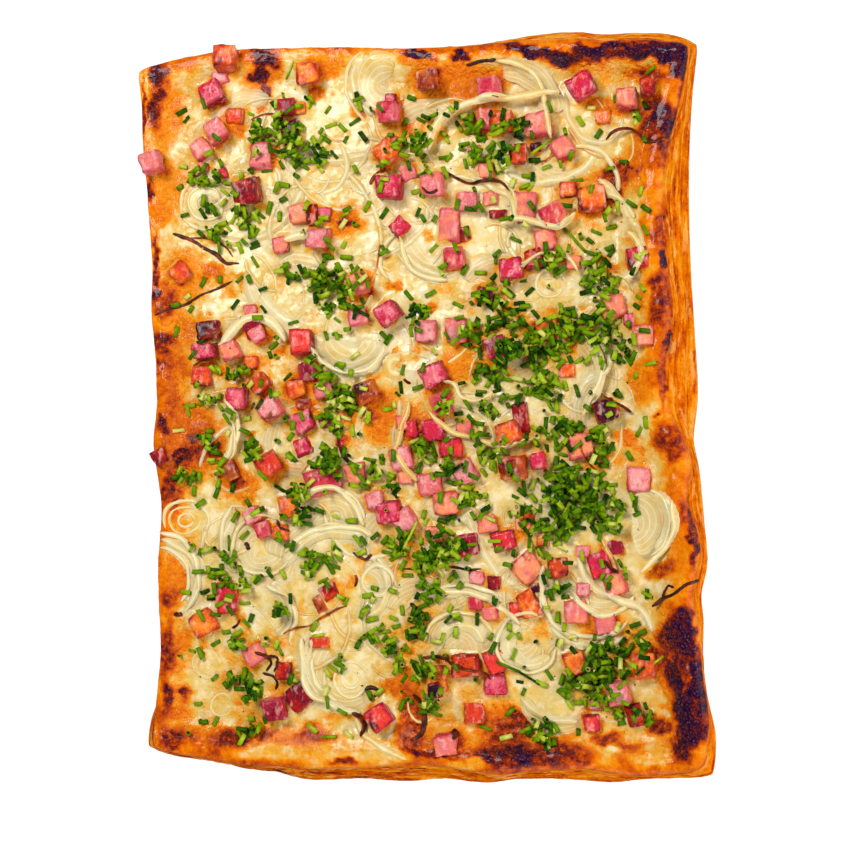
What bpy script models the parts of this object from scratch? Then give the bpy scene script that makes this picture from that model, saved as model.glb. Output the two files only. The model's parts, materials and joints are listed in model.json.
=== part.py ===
"""Puff pastry pizza: a baked rectangular sheet with cream, ham dice, onion slices and chives.

Metres, +Z up. +X runs along the short side and +Y along the long side. The origin is under
the middle of the sheet, on the surface that the sheet rests on.
"""

import math
import random

import bmesh
import bpy
import numpy as np
from mathutils import Matrix, Vector
from mathutils.bvhtree import BVHTree

MM = 0.001
SEED = 27

# The plan that places are read on: its unit is about 0.465 mm, it runs right and down, and
# it is seen from a point over the sheet that leans to +X and -Y. A place on it is brought
# to the level that the piece lies on.
PLAN_DISTANCE = 0.70
PLAN_FOCUS = 1505.0
PLAN_MIDDLE = 425.0
PLAN_AIM = Vector((0.0050, -0.0080, 0.0100))
PLAN_LEAN_X = math.radians(10.0)
PLAN_LEAN_Y = math.radians(2.0)

# Ridge of the rim and foot of the side walls, as places on the plan.
RIDGE_LEFT = (
    (155, 750), (156, 708), (160, 650), (158, 604), (158, 555), (162, 515), (159, 485),
    (154, 448), (157, 399), (155, 356), (151, 320), (151, 265), (147, 200), (142, 140),
    (140, 98), (136, 68),
)
RIDGE_RIGHT = (
    (706, 765), (709, 725), (702, 670), (698, 630), (692, 600), (699, 545), (686, 500),
    (690, 458), (668, 415), (663, 370), (669, 330), (664, 262), (660, 205), (667, 150),
    (680, 100), (690, 50),
)
RIDGE_BOTTOM = (
    (155, 750), (200, 757), (240, 764), (285, 767), (330, 768), (370, 767), (420, 763),
    (470, 769), (500, 772), (545, 769), (590, 769), (620, 774), (660, 775), (706, 765),
)
RIDGE_TOP = (
    (136, 68), (180, 57), (225, 49), (285, 47), (345, 46), (400, 48), (470, 46), (515, 43),
    (545, 42), (575, 40), (600, 42), (640, 41), (690, 45),
)
FOOT_LEFT = (
    (145, 748), (150, 722), (160, 694), (164, 650), (163, 604), (162, 555), (166, 515),
    (163, 485), (159, 440), (161, 399), (159, 356), (155, 320), (155, 265), (151, 200),
    (146, 140), (144, 98), (141, 74),
)
FOOT_RIGHT = (
    (717, 779), (716, 736), (706, 690), (703, 655), (704, 620), (702, 597), (707, 570),
    (706, 533), (701, 480), (695, 446), (699, 400), (696, 335), (692, 270), (690, 180),
    (692, 115), (694, 90), (697, 68), (702, 44),
)
FOOT_BOTTOM = (
    (145, 748), (180, 756), (218, 761), (242, 767), (277, 772), (303, 779), (360, 779),
    (413, 782), (444, 779), (487, 783), (520, 779), (584, 781), (610, 783), (643, 779),
    (717, 779),
)
FOOT_TOP = (
    (141, 74), (180, 62), (225, 54), (285, 51), (345, 50), (400, 51), (470, 48), (515, 39),
    (545, 34), (575, 32), (600, 34), (640, 33), (670, 34), (702, 42),
)

# Height of the ridge along each side, as (share of the side, millimetres).
HEIGHT_LEFT = ((0.0, 16.5), (0.12, 13.5), (0.3, 13.5), (0.44, 15.0), (0.6, 13.0), (1.0, 13.5))
HEIGHT_RIGHT = ((0.0, 21.0), (0.1, 22.5), (0.25, 21.5), (0.45, 19.0), (0.6, 20.0), (1.0, 18.5))
HEIGHT_BOTTOM = ((0.0, 16.5), (0.2, 15.5), (0.45, 16.0), (0.62, 18.5), (0.85, 16.5), (1.0, 19.0))
HEIGHT_TOP = ((0.0, 13.5), (0.25, 13.0), (0.5, 15.0), (0.7, 17.0), (0.85, 18.0), (1.0, 18.5))
SIDE_LEVELS = {"left": 0.0138, "right": 0.0200, "bottom": 0.0165, "top": 0.0155}
SLOPE_WIDTHS = {"left": 0.015, "right": 0.024, "bottom": 0.020, "top": 0.017}
CREST_WIDTH = 0.0035
CREST_DROP = 0.14
MIDDLE_HEIGHT = 0.0105
SIDE_BLEND = 4.0

# Slow waves of the top: height, then waves and shift along X and along Y.
SWELLS = ((0.0004, 95, 1.3, 80, 0.4), (0.0003, 210, -0.6, 190, 2.1))

# Puffed bubbles: place on the plan, radius in plan units, height in millimetres.
BUBBLES = (
    (192, 447, 26, 2.6), (165, 345, 14, 1.0), (345, 222, 17, 2.0), (500, 745, 30, 2.2),
    (566, 755, 20, 1.2), (232, 742, 18, 1.4), (172, 742, 18, 1.0), (412, 720, 22, 1.6),
    (460, 80, 38, 1.4), (590, 60, 26, 1.2), (630, 165, 20, 1.3), (648, 262, 18, 1.0),
    (670, 440, 18, 1.4), (625, 436, 20, 1.4), (665, 565, 16, 1.2), (682, 690, 26, 1.0),
    (656, 728, 16, 1.2), (618, 742, 20, 1.3), (160, 90, 18, 1.2), (244, 487, 16, 1.4),
    (375, 425, 22, 1.2), (460, 365, 22, 1.2), (400, 683, 20, 1.2), (320, 735, 24, 1.2),
)
BUBBLE_FALL = 1.8

# Grid cells across and along, and the rings of the side wall: share of the height, and how
# far the layer there stands out, in millimetres.
CELLS_ACROSS = 28
CELLS_ALONG = 36
WALL_LAYERS = (
    (0.0, -0.5), (0.14, 0.5), (0.28, -0.5), (0.44, 0.6), (0.58, -0.5), (0.78, 0.4), (1.0, 0.0),
)
LAYER_WAVE = 0.35
LAYER_WAVES = ((11, 1.7), (29, 2.9))
CORNER_CUT = 0.012
CORNER_SHARPNESS = 24
SHEET_WIDTH = 0.262
SHEET_LENGTH = 0.340

CREAM_INSETS = {"left": 0.0045, "right": 0.0110, "bottom": 0.0070, "top": 0.0055}
CREAM_EDGE = 0.0014
CREAM_THICK = 0.0024
CREAM_FLOOR = 0.0074
CREAM_GAP = 0.0004
CREAM_TOP_IN = 0.0008
CREAM_SKIRT_IN = 0.0009
BED_STEP_IN = 0.0003
BED_LEAST_FALL = 0.0002
SLOPE_RING = 0.008
FLOOR_RING = 0.018

# Ham dice: place on the plan, sides across and down in plan units, turn in degrees, tone.
HAM_DICE = (
    (224, 57, 24, 23, 0, "roast"), (209, 92, 24, 24, 25, "red"), (214, 130, 22, 22, 30, "pink"),
    (150, 162, 22, 21, 15, "pink"), (245, 190, 26, 26, 8, "dark"),
    (306, 72, 23, 23, 5, "roast"), (387, 110, 23, 21, 0, "pink"), (384, 152, 24, 23, 40, "roast"),
    (388, 186, 26, 24, 0, "red"), (431, 183, 24, 24, 5, "pink"), (427, 79, 22, 21, 5, "roast"),
    (489, 87, 24, 23, 5, "pink"), (501, 121, 24, 22, 0, "roast"), (537, 123, 26, 24, 10, "pink"),
    (581, 84, 26, 24, 30, "red"), (627, 98, 20, 20, 0, "pink"), (648, 88, 19, 24, 10, "dark"),
    (517, 152, 22, 26, 0, "dark"), (202, 350, 24, 15, 3, "red"), (228, 350, 24, 22, 20, "pink"),
    (300, 341, 24, 26, 5, "red"), (235, 398, 20, 22, 0, "red"), (258, 383, 20, 18, 45, "dark"),
    (268, 408, 24, 22, 30, "pink"), (266, 464, 26, 22, 30, "roast"), (316, 237, 22, 20, 0, "pink"),
    (356, 283, 22, 21, 20, "pink"), (387, 312, 24, 22, 35, "red"), (553, 214, 24, 23, 30, "pink"),
    (510, 268, 24, 22, 10, "red"), (432, 374, 26, 22, 25, "red"), (365, 391, 21, 22, 25, "roast"),
    (496, 347, 22, 22, 20, "red"), (507, 432, 24, 22, 20, "roast"), (512, 468, 26, 24, 5, "roast"),
    (537, 461, 20, 20, 10, "red"), (605, 410, 22, 22, 20, "dark"), (378, 718, 24, 24, 35, "red"),
    (618, 694, 22, 22, 15, "pink"), (644, 667, 22, 24, 5, "roast"), (272, 710, 24, 22, 10, "red"),
)
HAM_HEIGHT = 0.0085
HAM_BEVEL = 0.0007
HAM_JITTER = 0.00035
HAM_TILT = 7.0
HAM_GAP = 0.0005
HAM_SMALLEST = 0.62
HAM_MARGIN = 0.0014
HAM_SHRINK = 0.04

# Smaller ham dice, which are joined to the cream.
SMALL_HAM = (
    (199, 148, 18, 18, 35), (284, 105, 16, 16, 5), (287, 128, 18, 18, 10), (258, 154, 20, 24, 0),
    (297, 213, 18, 18, 15),
    (398, 226, 16, 15, 45), (484, 118, 14, 20, 0), (562, 147, 19, 19, 30), (485, 169, 14, 14, 5),
    (279, 244, 15, 15, 10), (252, 328, 18, 16, 20), (424, 330, 20, 19, 0), (455, 329, 20, 22, 0),
    (356, 316, 18, 16, 10), (465, 200, 20, 18, 0), (453, 257, 19, 19, 5), (545, 239, 20, 20, 10),
    (534, 258, 18, 18, 15), (484, 293, 14, 14, 0), (591, 198, 24, 22, 5), (612, 304, 22, 20, 10),
    (637, 259, 18, 18, 5), (643, 335, 18, 18, 0), (545, 329, 22, 20, 10), (306, 371, 18, 17, 5),
    (294, 388, 17, 15, 10), (321, 389, 18, 16, 15), (301, 421, 20, 20, 25), (199, 376, 19, 17, 0),
    (227, 470, 15, 18, 25), (321, 481, 32, 24, 20), (440, 404, 19, 20, 10), (432, 430, 20, 20, 5),
    (449, 448, 21, 16, 5), (400, 458, 20, 20, 15), (428, 484, 22, 20, 5), (464, 472, 20, 20, 30),
    (579, 446, 22, 22, 10), (638, 480, 20, 22, 0), (354, 474, 18, 20, 10), (285, 508, 16, 20, 10),
    (251, 516, 16, 14, 30), (261, 530, 14, 14, 20), (373, 501, 16, 16, 10), (387, 512, 22, 20, 5),
    (403, 520, 20, 20, 30), (444, 503, 22, 20, 5), (467, 545, 18, 20, 10), (503, 541, 21, 18, 15),
    (526, 568, 24, 24, 40), (557, 568, 18, 18, 5), (600, 566, 20, 22, 20), (615, 584, 20, 20, 15),
    (224, 599, 21, 27, 0), (201, 624, 24, 22, 30), (252, 655, 20, 18, 30), (282, 672, 14, 16, 0),
    (528, 605, 18, 24, 25), (465, 666, 26, 20, 5), (494, 662, 18, 20, 20), (494, 685, 20, 18, 5),
    (437, 683, 14, 20, 15), (575, 612, 20, 20, 5), (605, 624, 20, 18, 10), (574, 664, 20, 20, 20),
    (634, 717, 14, 20, 15), (591, 724, 14, 14, 5), (298, 698, 24, 22, 35), (473, 715, 18, 18, 5),
    (446, 744, 20, 18, 10), (155, 457, 16, 16, 30), (178, 272, 16, 15, 40), (206, 329, 22, 18, 5),
)
SMALL_HAM_HEIGHT = 0.0065
SINK = 0.0010
PIECE_CLEAR = 0.00275

# Onion slices: middle on the plan, mid radius and band width in plan units, first and last
# angle in degrees from +X towards +Y.
ONION_SLICES = (
    (350, 335, 21, 26, 190, 350), (338, 590, 58, 13, 62, 158), (262, 612, 29, 9, -55, 62),
    (350, 584, 37, 9, -62, 45), (352, 662, 47, 11, 150, 262), (463, 648, 20, 22, 25, 165),
    (530, 645, 21, 16, 120, 330), (468, 640, 48, 9, 58, 118), (592, 590, 56, 9, 222, 305),
    (640, 522, 32, 15, -60, 62), (154, 580, 42, 7, -38, 78), (266, 545, 42, 12, 138, 222),
    (196, 436, 38, 7, -40, 52), (556, 372, 45, 10, -48, 42), (500, 112, 48, 8, 20, 76),
    (385, 78, 36, 9, 150, 250), (440, 238, 36, 9, 205, 282),
)
ONION_THICK = 0.0026
ONION_STEP = 0.0050
ONION_GAP = 0.0004
ONION_LEAST_STATIONS = 4
ONION_CLEAR = 0.0020
ONION_TOP_WIDTH = 0.70
ONION_TIP_WIDTH = 0.45
ONION_TIP_HEIGHT = 0.60
ONION_SAMPLES = (-1.3, -0.6, 0.0, 0.6, 1.3)

# Chive clusters: middle on the plan, spread in plan units, pieces joined to the cream.
CHIVE_CLUSTERS = (
    (290, 145, 22, 5), (240, 225, 18, 2), (328, 285, 16, 4), (480, 147, 26, 3), (500, 312, 22, 4),
    (540, 352, 18, 3), (560, 330, 20, 2), (540, 385, 16, 2), (598, 278, 20, 3), (343, 402, 13, 3),
    (330, 462, 12, 2), (495, 382, 18, 2), (565, 492, 20, 4), (555, 525, 18, 3), (445, 548, 20, 3),
    (605, 662, 18, 3), (590, 690, 12, 1), (253, 690, 9, 1), (545, 728, 10, 2), (415, 640, 16, 1),
)
CHIVE_RADIUS = 0.00115
CHIVE_LENGTHS = (0.0045, 0.0080)
CHIVE_SIDES = 6
CHIVE_LIFT = 0.0004
CHIVE_TRIES = 12

FINISHES = {
    "pastry": ((0.72, 0.36, 0.10), 0.55),
    "cream": ((0.90, 0.82, 0.58), 0.45),
    "pink": ((0.86, 0.42, 0.38), 0.40),
    "red": ((0.66, 0.10, 0.12), 0.40),
    "roast": ((0.78, 0.24, 0.08), 0.45),
    "dark": ((0.28, 0.06, 0.05), 0.50),
    "onion": ((0.90, 0.84, 0.62), 0.30),
}


def plan_axes():
    """Right, up and back directions of the plan."""
    turn = Matrix.Rotation(PLAN_LEAN_X, 3, "Y") @ Matrix.Rotation(PLAN_LEAN_Y, 3, "X")
    return turn @ Vector((1, 0, 0)), turn @ Vector((0, 1, 0)), turn @ Vector((0, 0, 1))


PLAN_RIGHT, PLAN_UP, PLAN_BACK = plan_axes()
PLAN_EYE = PLAN_AIM + PLAN_DISTANCE * PLAN_BACK


def on_plan(across, down, level):
    """The (x, y) in metres of a place on the plan, at this level."""
    ray = (
        PLAN_RIGHT * ((across - PLAN_MIDDLE) / PLAN_FOCUS)
        + PLAN_UP * ((PLAN_MIDDLE - down) / PLAN_FOCUS)
        - PLAN_BACK
    )
    place = PLAN_EYE + ray * ((level - PLAN_EYE.z) / ray.z)
    return place.x, place.y


def plan_length(units):
    """Metres of this many plan units at the middle of the sheet."""
    return units * PLAN_DISTANCE / PLAN_FOCUS


def curve_through(places, values):
    """A smooth function through the values at these rising places."""
    places = np.array(places, float)
    values = np.array(values, float)
    slopes = np.gradient(values, places)

    def at(where):
        where = np.clip(np.asarray(where, float), places[0], places[-1])
        left = np.clip(np.searchsorted(places, where) - 1, 0, len(places) - 2)
        span = places[left + 1] - places[left]
        s = (where - places[left]) / span
        start = (1 + 2 * s) * (1 - s) ** 2 * values[left] + s * (1 - s) ** 2 * span * slopes[left]
        end = s * s * (3 - 2 * s) * values[left + 1] - s * s * (1 - s) * span * slopes[left + 1]
        return start + end

    return at


def side_curve(points, level, upright):
    """The cross coordinate of a side as a function of the share along it."""
    places = np.array([on_plan(across, down, level) for across, down in points])
    along, cross = (places[:, 1], places[:, 0]) if upright else (places[:, 0], places[:, 1])
    return curve_through((along - along[0]) / (along[-1] - along[0]), cross)


def outline(left, right, bottom, top, levels):
    """The four sides of a closed outline, by name."""
    return {
        "left": side_curve(left, levels["left"], True),
        "right": side_curve(right, levels["right"], True),
        "bottom": side_curve(bottom, levels["bottom"], False),
        "top": side_curve(top, levels["top"], False),
    }


RIDGE = outline(RIDGE_LEFT, RIDGE_RIGHT, RIDGE_BOTTOM, RIDGE_TOP, SIDE_LEVELS)
FOOT = outline(FOOT_LEFT, FOOT_RIGHT, FOOT_BOTTOM, FOOT_TOP, dict.fromkeys(SIDE_LEVELS, 0.0))
RIDGE_HEIGHTS = {
    side: curve_through([share for share, _ in rows], [height * MM for _, height in rows])
    for side, rows in (
        ("left", HEIGHT_LEFT),
        ("right", HEIGHT_RIGHT),
        ("bottom", HEIGHT_BOTTOM),
        ("top", HEIGHT_TOP),
    )
}


def place_in(sides, u, v):
    """(x, y) of the point (u, v) of the square from -1 to 1, stretched into an outline."""
    cut = 1 - CORNER_CUT * np.abs(u * v) ** CORNER_SHARPNESS
    s = (u * cut + 1) / 2
    t = (v * cut + 1) / 2
    x = (1 - s) * sides["left"](t) + s * sides["right"](t)
    y = (1 - t) * sides["bottom"](s) + t * sides["top"](s)
    return x, y


def square_of(x, y):
    """The (u, v) whose place inside the ridge is (x, y)."""
    u = np.clip(2 * x / SHEET_WIDTH, -1, 1)
    v = np.clip(2 * y / SHEET_LENGTH, -1, 1)
    for _ in range(8):
        at_x, at_y = place_in(RIDGE, u, v)
        u = np.clip(u - 2 * (at_x - x) / SHEET_WIDTH, -1, 1)
        v = np.clip(v - 2 * (at_y - y) / SHEET_LENGTH, -1, 1)
    return u, v


def rim_share(inward, width):
    """Share of the ridge's height at this distance inside it."""
    crest = 1 - CREST_DROP * (1 - np.clip(inward / CREST_WIDTH, 0, 1)) ** 2
    fall = np.clip((inward - CREST_WIDTH) / (width - CREST_WIDTH), 0, 1)
    return crest * (0.5 + 0.5 * np.cos(math.pi * fall))


def top_height(u, v):
    """Height of the finished top, crust and cream alike, at (u, v) inside the ridge."""
    s = (np.asarray(u, float) + 1) / 2
    t = (np.asarray(v, float) + 1) / 2
    inward = {
        "left": s * SHEET_WIDTH,
        "right": (1 - s) * SHEET_WIDTH,
        "bottom": t * SHEET_LENGTH,
        "top": (1 - t) * SHEET_LENGTH,
    }
    along = {"left": t, "right": t, "bottom": s, "top": s}
    total = np.zeros(np.broadcast(s, t).shape)
    for side, distance in inward.items():
        rise = RIDGE_HEIGHTS[side](along[side]) - MIDDLE_HEIGHT
        total += (rise * rim_share(distance, SLOPE_WIDTHS[side])) ** SIDE_BLEND
    height = MIDDLE_HEIGHT + total ** (1 / SIDE_BLEND)
    x, y = place_in(RIDGE, u, v)
    for rise, waves_x, shift_x, waves_y, shift_y in SWELLS:
        height += rise * np.sin(waves_x * x + shift_x) * np.sin(waves_y * y + shift_y)
    for across, down, radius, rise in BUBBLES:
        at_x, at_y = on_plan(across, down, MIDDLE_HEIGHT)
        distance = np.hypot(x - at_x, y - at_y) / plan_length(radius)
        height += rise * MM * np.exp(-BUBBLE_FALL * distance * distance)
    return height


def edge_square():
    """(u, v) of the grid's outer points, counter-clockwise from the corner at -X, -Y."""
    across = np.linspace(-1, 1, CELLS_ACROSS + 1)
    along = np.linspace(-1, 1, CELLS_ALONG + 1)
    u = np.concatenate([across[:-1], np.ones(CELLS_ALONG), across[:0:-1], -np.ones(CELLS_ALONG)])
    v = np.concatenate([-np.ones(CELLS_ACROSS), along[:-1], np.ones(CELLS_ACROSS), along[:0:-1]])
    return u, v


def inset_square(u, v, insets, more=0.0):
    """(u, v) drawn in from each side by its inset and a little more."""
    low_u = -1 + 2 * (insets["left"] + more) / SHEET_WIDTH
    high_u = 1 - 2 * (insets["right"] + more) / SHEET_WIDTH
    low_v = -1 + 2 * (insets["bottom"] + more) / SHEET_LENGTH
    high_v = 1 - 2 * (insets["top"] + more) / SHEET_LENGTH
    return low_u + (u + 1) / 2 * (high_u - low_u), low_v + (v + 1) / 2 * (high_v - low_v)


def ring_of(u, v, height):
    """Points of one ring inside the ridge."""
    x, y = place_in(RIDGE, u, v)
    return np.column_stack([x, y, np.broadcast_to(height, x.shape)])


def add_ring(mesh, points):
    """New vertices at these points."""
    return [mesh.verts.new(point) for point in points]


def bridge(mesh, lower, upper, mirrored=False):
    """A band of triangles between two rings of the same length."""
    count = len(lower)
    for j in range(count):
        k = (j + 1) % count
        if mirrored:
            mesh.faces.new((lower[j], lower[k], upper[j]))
            mesh.faces.new((lower[k], upper[k], upper[j]))
        else:
            mesh.faces.new((lower[j], lower[k], upper[k]))
            mesh.faces.new((lower[j], upper[k], upper[j]))


def new_object(name, mesh, finish):
    """An object with this mesh and its own material."""
    data = bpy.data.meshes.new(name)
    mesh.normal_update()
    mesh.to_mesh(data)
    mesh.free()
    obj = bpy.data.objects.new(name, data)
    bpy.context.scene.collection.objects.link(obj)
    data.materials.append(material_for(finish))
    return obj


def material_for(finish):
    """The shared material of a finish."""
    if finish in bpy.data.materials:
        return bpy.data.materials[finish]
    colour, roughness = FINISHES[finish]
    material = bpy.data.materials.new(finish)
    material.use_nodes = True
    shader = material.node_tree.nodes["Principled BSDF"]
    shader.inputs["Base Color"].default_value = (*colour, 1)
    shader.inputs["Roughness"].default_value = roughness
    return material


def wall_rings(u, v):
    """Rings of the side wall from the foot to the ridge, with the layers standing out."""
    foot_x, foot_y = place_in(FOOT, u, v)
    ridge_x, ridge_y = place_in(RIDGE, u, v)
    ridge_z = top_height(u, v)
    turn = np.linspace(0, 2 * math.pi, len(u), endpoint=False)
    out_x = foot_x / np.hypot(foot_x, foot_y)
    out_y = foot_y / np.hypot(foot_x, foot_y)
    rings = []
    for level, (share, stand) in enumerate(WALL_LAYERS):
        wave = 1.0
        for waves, shift in LAYER_WAVES:
            wave = wave + LAYER_WAVE * np.sin(waves * turn + shift * level)
        out = stand * MM * wave
        x = foot_x + (ridge_x - foot_x) * share + out * out_x
        y = foot_y + (ridge_y - foot_y) * share + out * out_y
        rings.append(np.column_stack([x, y, ridge_z * share]))
    return rings


def slope_height(u, v):
    """Height of the crust under the cream's edge slope."""
    return np.maximum(CREAM_FLOOR + BED_LEAST_FALL, top_height(u, v) - CREAM_THICK)


def make_pastry():
    """The puffed sheet: layered side walls, rim, and a flat bed for the cream."""
    u, v = edge_square()
    rings = wall_rings(u, v)
    half = {side: inset / 2 for side, inset in CREAM_INSETS.items()}
    mid_u, mid_v = inset_square(u, v, half)
    rings.append(ring_of(mid_u, mid_v, top_height(mid_u, mid_v)))
    edge_u, edge_v = inset_square(u, v, CREAM_INSETS)
    rings.append(ring_of(edge_u, edge_v, top_height(edge_u, edge_v)))
    step_u, step_v = inset_square(u, v, CREAM_INSETS, BED_STEP_IN)
    rings.append(ring_of(step_u, step_v, top_height(step_u, step_v) - CREAM_EDGE - CREAM_GAP))
    slope_u, slope_v = inset_square(u, v, CREAM_INSETS, SLOPE_RING)
    rings.append(ring_of(slope_u, slope_v, slope_height(slope_u, slope_v)))
    floor_u, floor_v = inset_square(u, v, CREAM_INSETS, FLOOR_RING)
    rings.append(ring_of(floor_u, floor_v, CREAM_FLOOR))
    mesh = bmesh.new()
    loops = [add_ring(mesh, ring) for ring in rings]
    for lower, upper in zip(loops, loops[1:]):
        bridge(mesh, lower, upper)
    mesh.faces.new(list(reversed(loops[0])))
    mesh.faces.new(loops[-1])
    return new_object("pastry", mesh, "pastry")


def make_cream():
    """The baked cream: its top is a grid, and its underside follows the bed."""
    u, v = edge_square()
    mesh = bmesh.new()
    rings = []
    floor_u, floor_v = inset_square(u, v, CREAM_INSETS, FLOOR_RING)
    rings.append(ring_of(floor_u, floor_v, CREAM_FLOOR + CREAM_GAP))
    slope_u, slope_v = inset_square(u, v, CREAM_INSETS, SLOPE_RING)
    rings.append(ring_of(slope_u, slope_v, slope_height(slope_u, slope_v) + CREAM_GAP))
    edge_u, edge_v = inset_square(u, v, CREAM_INSETS, CREAM_SKIRT_IN)
    rings.append(ring_of(edge_u, edge_v, top_height(edge_u, edge_v) - CREAM_EDGE))
    loops = [add_ring(mesh, ring) for ring in rings]
    grid = []
    for row in range(CELLS_ALONG + 1):
        across = np.linspace(-1, 1, CELLS_ACROSS + 1)
        along = np.full(CELLS_ACROSS + 1, -1 + 2 * row / CELLS_ALONG)
        at_u, at_v = inset_square(across, along, CREAM_INSETS, CREAM_TOP_IN)
        grid.append(add_ring(mesh, ring_of(at_u, at_v, top_height(at_u, at_v))))
    border = grid[0][:-1]
    border += [row[-1] for row in grid[:-1]]
    border += grid[-1][:0:-1]
    border += [row[0] for row in grid[:0:-1]]
    loops.append(border)
    for lower, upper in zip(loops, loops[1:]):
        bridge(mesh, lower, upper, mirrored=True)
    mesh.faces.new(list(reversed(loops[0])))
    for near, far in zip(grid, grid[1:]):
        for j in range(CELLS_ACROSS):
            mesh.faces.new((near[j], near[j + 1], far[j + 1], far[j]))
    bmesh.ops.triangulate(mesh, faces=[face for face in mesh.faces if len(face.verts) == 4])
    return new_object("cream", mesh, "cream")


def surface_finder(objects):
    """A function that gives the highest surface of these objects at (x, y)."""
    trees = []
    for obj in objects:
        mesh = bmesh.new()
        mesh.from_mesh(obj.data)
        bmesh.ops.triangulate(mesh, faces=mesh.faces[:])
        trees.append(BVHTree.FromBMesh(mesh))
        mesh.free()

    def height_at(x, y):
        hits = [tree.ray_cast(Vector((x, y, 1.0)), Vector((0, 0, -1)))[0] for tree in trees]
        return max((hit.z for hit in hits if hit is not None), default=0.0)

    return height_at


def box_corners(place, size, turn):
    """The four corners in plan of a turned box."""
    cos, sin = math.cos(turn), math.sin(turn)
    corners = []
    for side_x, side_y in ((-1, -1), (1, -1), (1, 1), (-1, 1)):
        x = side_x * size[0] / 2
        y = side_y * size[1] / 2
        corners.append((place[0] + x * cos - y * sin, place[1] + x * sin + y * cos))
    return corners


def boxes_clear(first, second, gap):
    """Whether two turned boxes are at least this far apart in plan."""
    for a, b in ((first, second), (second, first)):
        for j in range(4):
            edge = Vector(a[(j + 1) % 4]) - Vector(a[j])
            normal = Vector((edge.y, -edge.x)).normalized()
            reach = max(normal.dot(Vector(corner)) for corner in a)
            nearest = min(normal.dot(Vector(corner)) for corner in b)
            if nearest - reach > gap:
                return True
    return False


def point_distance(point, corners):
    """Distance in plan from a point to a turned box, 0 inside it."""
    inside = True
    nearest = 1.0
    for j in range(4):
        a = Vector(corners[j])
        b = Vector(corners[(j + 1) % 4])
        edge = b - a
        to_point = Vector(point) - a
        share = max(0.0, min(1.0, to_point.dot(edge) / edge.length_squared))
        nearest = min(nearest, (to_point - edge * share).length)
        if edge.x * to_point.y - edge.y * to_point.x < 0:
            inside = False
    return 0.0 if inside else nearest


def die_mesh(size, draw, softened="all"):
    """A ham die with softened edges, all or only the top ones, and uneven corners."""
    mesh = bmesh.new()
    bmesh.ops.create_cube(mesh, size=1.0)
    bmesh.ops.scale(mesh, vec=size, verts=mesh.verts)
    edges = mesh.edges[:]
    if softened == "top":
        edges = [edge for edge in edges if min(vert.co.z for vert in edge.verts) > 0]
    for vert in mesh.verts:
        vert.co += Vector([draw.uniform(-HAM_JITTER, HAM_JITTER) for _ in range(3)])
    bmesh.ops.bevel(
        mesh, geom=edges, offset=HAM_BEVEL, segments=1, profile=0.6, affect="EDGES"
    )
    bmesh.ops.triangulate(mesh, faces=mesh.faces[:])
    return mesh


def lift_to_rest(mesh, height_at, gap):
    """Raises or lowers a mesh until its lowest approach to the surface is the gap."""
    clearance = min(vert.co.z - height_at(vert.co.x, vert.co.y) for vert in mesh.verts)
    for face in mesh.faces:
        middle = face.calc_center_median()
        clearance = min(clearance, middle.z - height_at(middle.x, middle.y))
    bmesh.ops.translate(mesh, vec=(0, 0, gap - clearance), verts=mesh.verts)


def settled_dice():
    """Corners, size, turn and tone of each ham die, cut smaller where a neighbour is close."""
    dice = []
    for across, down, wide, long, turn, tone in HAM_DICE:
        place = on_plan(across, down, MIDDLE_HEIGHT + HAM_HEIGHT)
        size = [plan_length(wide), plan_length(long)]
        angle = math.radians(turn)
        share = 1.0
        corners = box_corners(place, size, angle)
        while share > HAM_SMALLEST and not all(
            boxes_clear(corners, other[0], HAM_MARGIN) for other in dice
        ):
            share -= HAM_SHRINK
            corners = box_corners(place, [side * share for side in size], angle)
        dice.append((corners, [side * share for side in size], angle, tone, place))
    return dice


def make_ham(dice, height_at):
    """One object for each ham die, at rest on what lies under it."""
    for number, (_, size, angle, tone, place) in enumerate(dice, 1):
        draw = random.Random(SEED + number)
        mesh = die_mesh((size[0], size[1], HAM_HEIGHT), draw)
        tilt = Matrix.Rotation(math.radians(draw.uniform(-HAM_TILT, HAM_TILT)), 4, "X")
        tilt = tilt @ Matrix.Rotation(math.radians(draw.uniform(-HAM_TILT, HAM_TILT)), 4, "Y")
        turn = Matrix.Rotation(angle, 4, "Z") @ tilt
        bmesh.ops.transform(mesh, matrix=turn, verts=mesh.verts)
        bmesh.ops.translate(mesh, vec=(place[0], place[1], HAM_HEIGHT), verts=mesh.verts)
        lift_to_rest(mesh, height_at, HAM_GAP)
        new_object(f"ham_{number:02d}", mesh, tone)


def arc_stations(across, down, radius, start, end):
    """Places and outward directions along an onion slice's middle line."""
    middle = on_plan(across, down, MIDDLE_HEIGHT)
    reach = plan_length(radius)
    count = max(ONION_LEAST_STATIONS, round(math.radians(end - start) * reach / ONION_STEP))
    stations = []
    for j in range(count + 1):
        angle = math.radians(start + (end - start) * j / count)
        out = Vector((math.cos(angle), math.sin(angle)))
        stations.append((Vector(middle) + out * reach, out))
    return stations


def longest_clear_run(stations, half_width, dice, placed):
    """The longest stretch of stations that keeps clear of the dice and of other slices."""
    runs = [[]]
    for place, out in stations:
        clear = all(point_distance(place, die[0]) > half_width + HAM_MARGIN for die in dice)
        for other, other_half in placed:
            if (place - other).length < half_width + other_half + ONION_CLEAR:
                clear = False
        if clear:
            runs[-1].append((place, out))
        elif runs[-1]:
            runs.append([])
    return max(runs, key=len)


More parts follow.
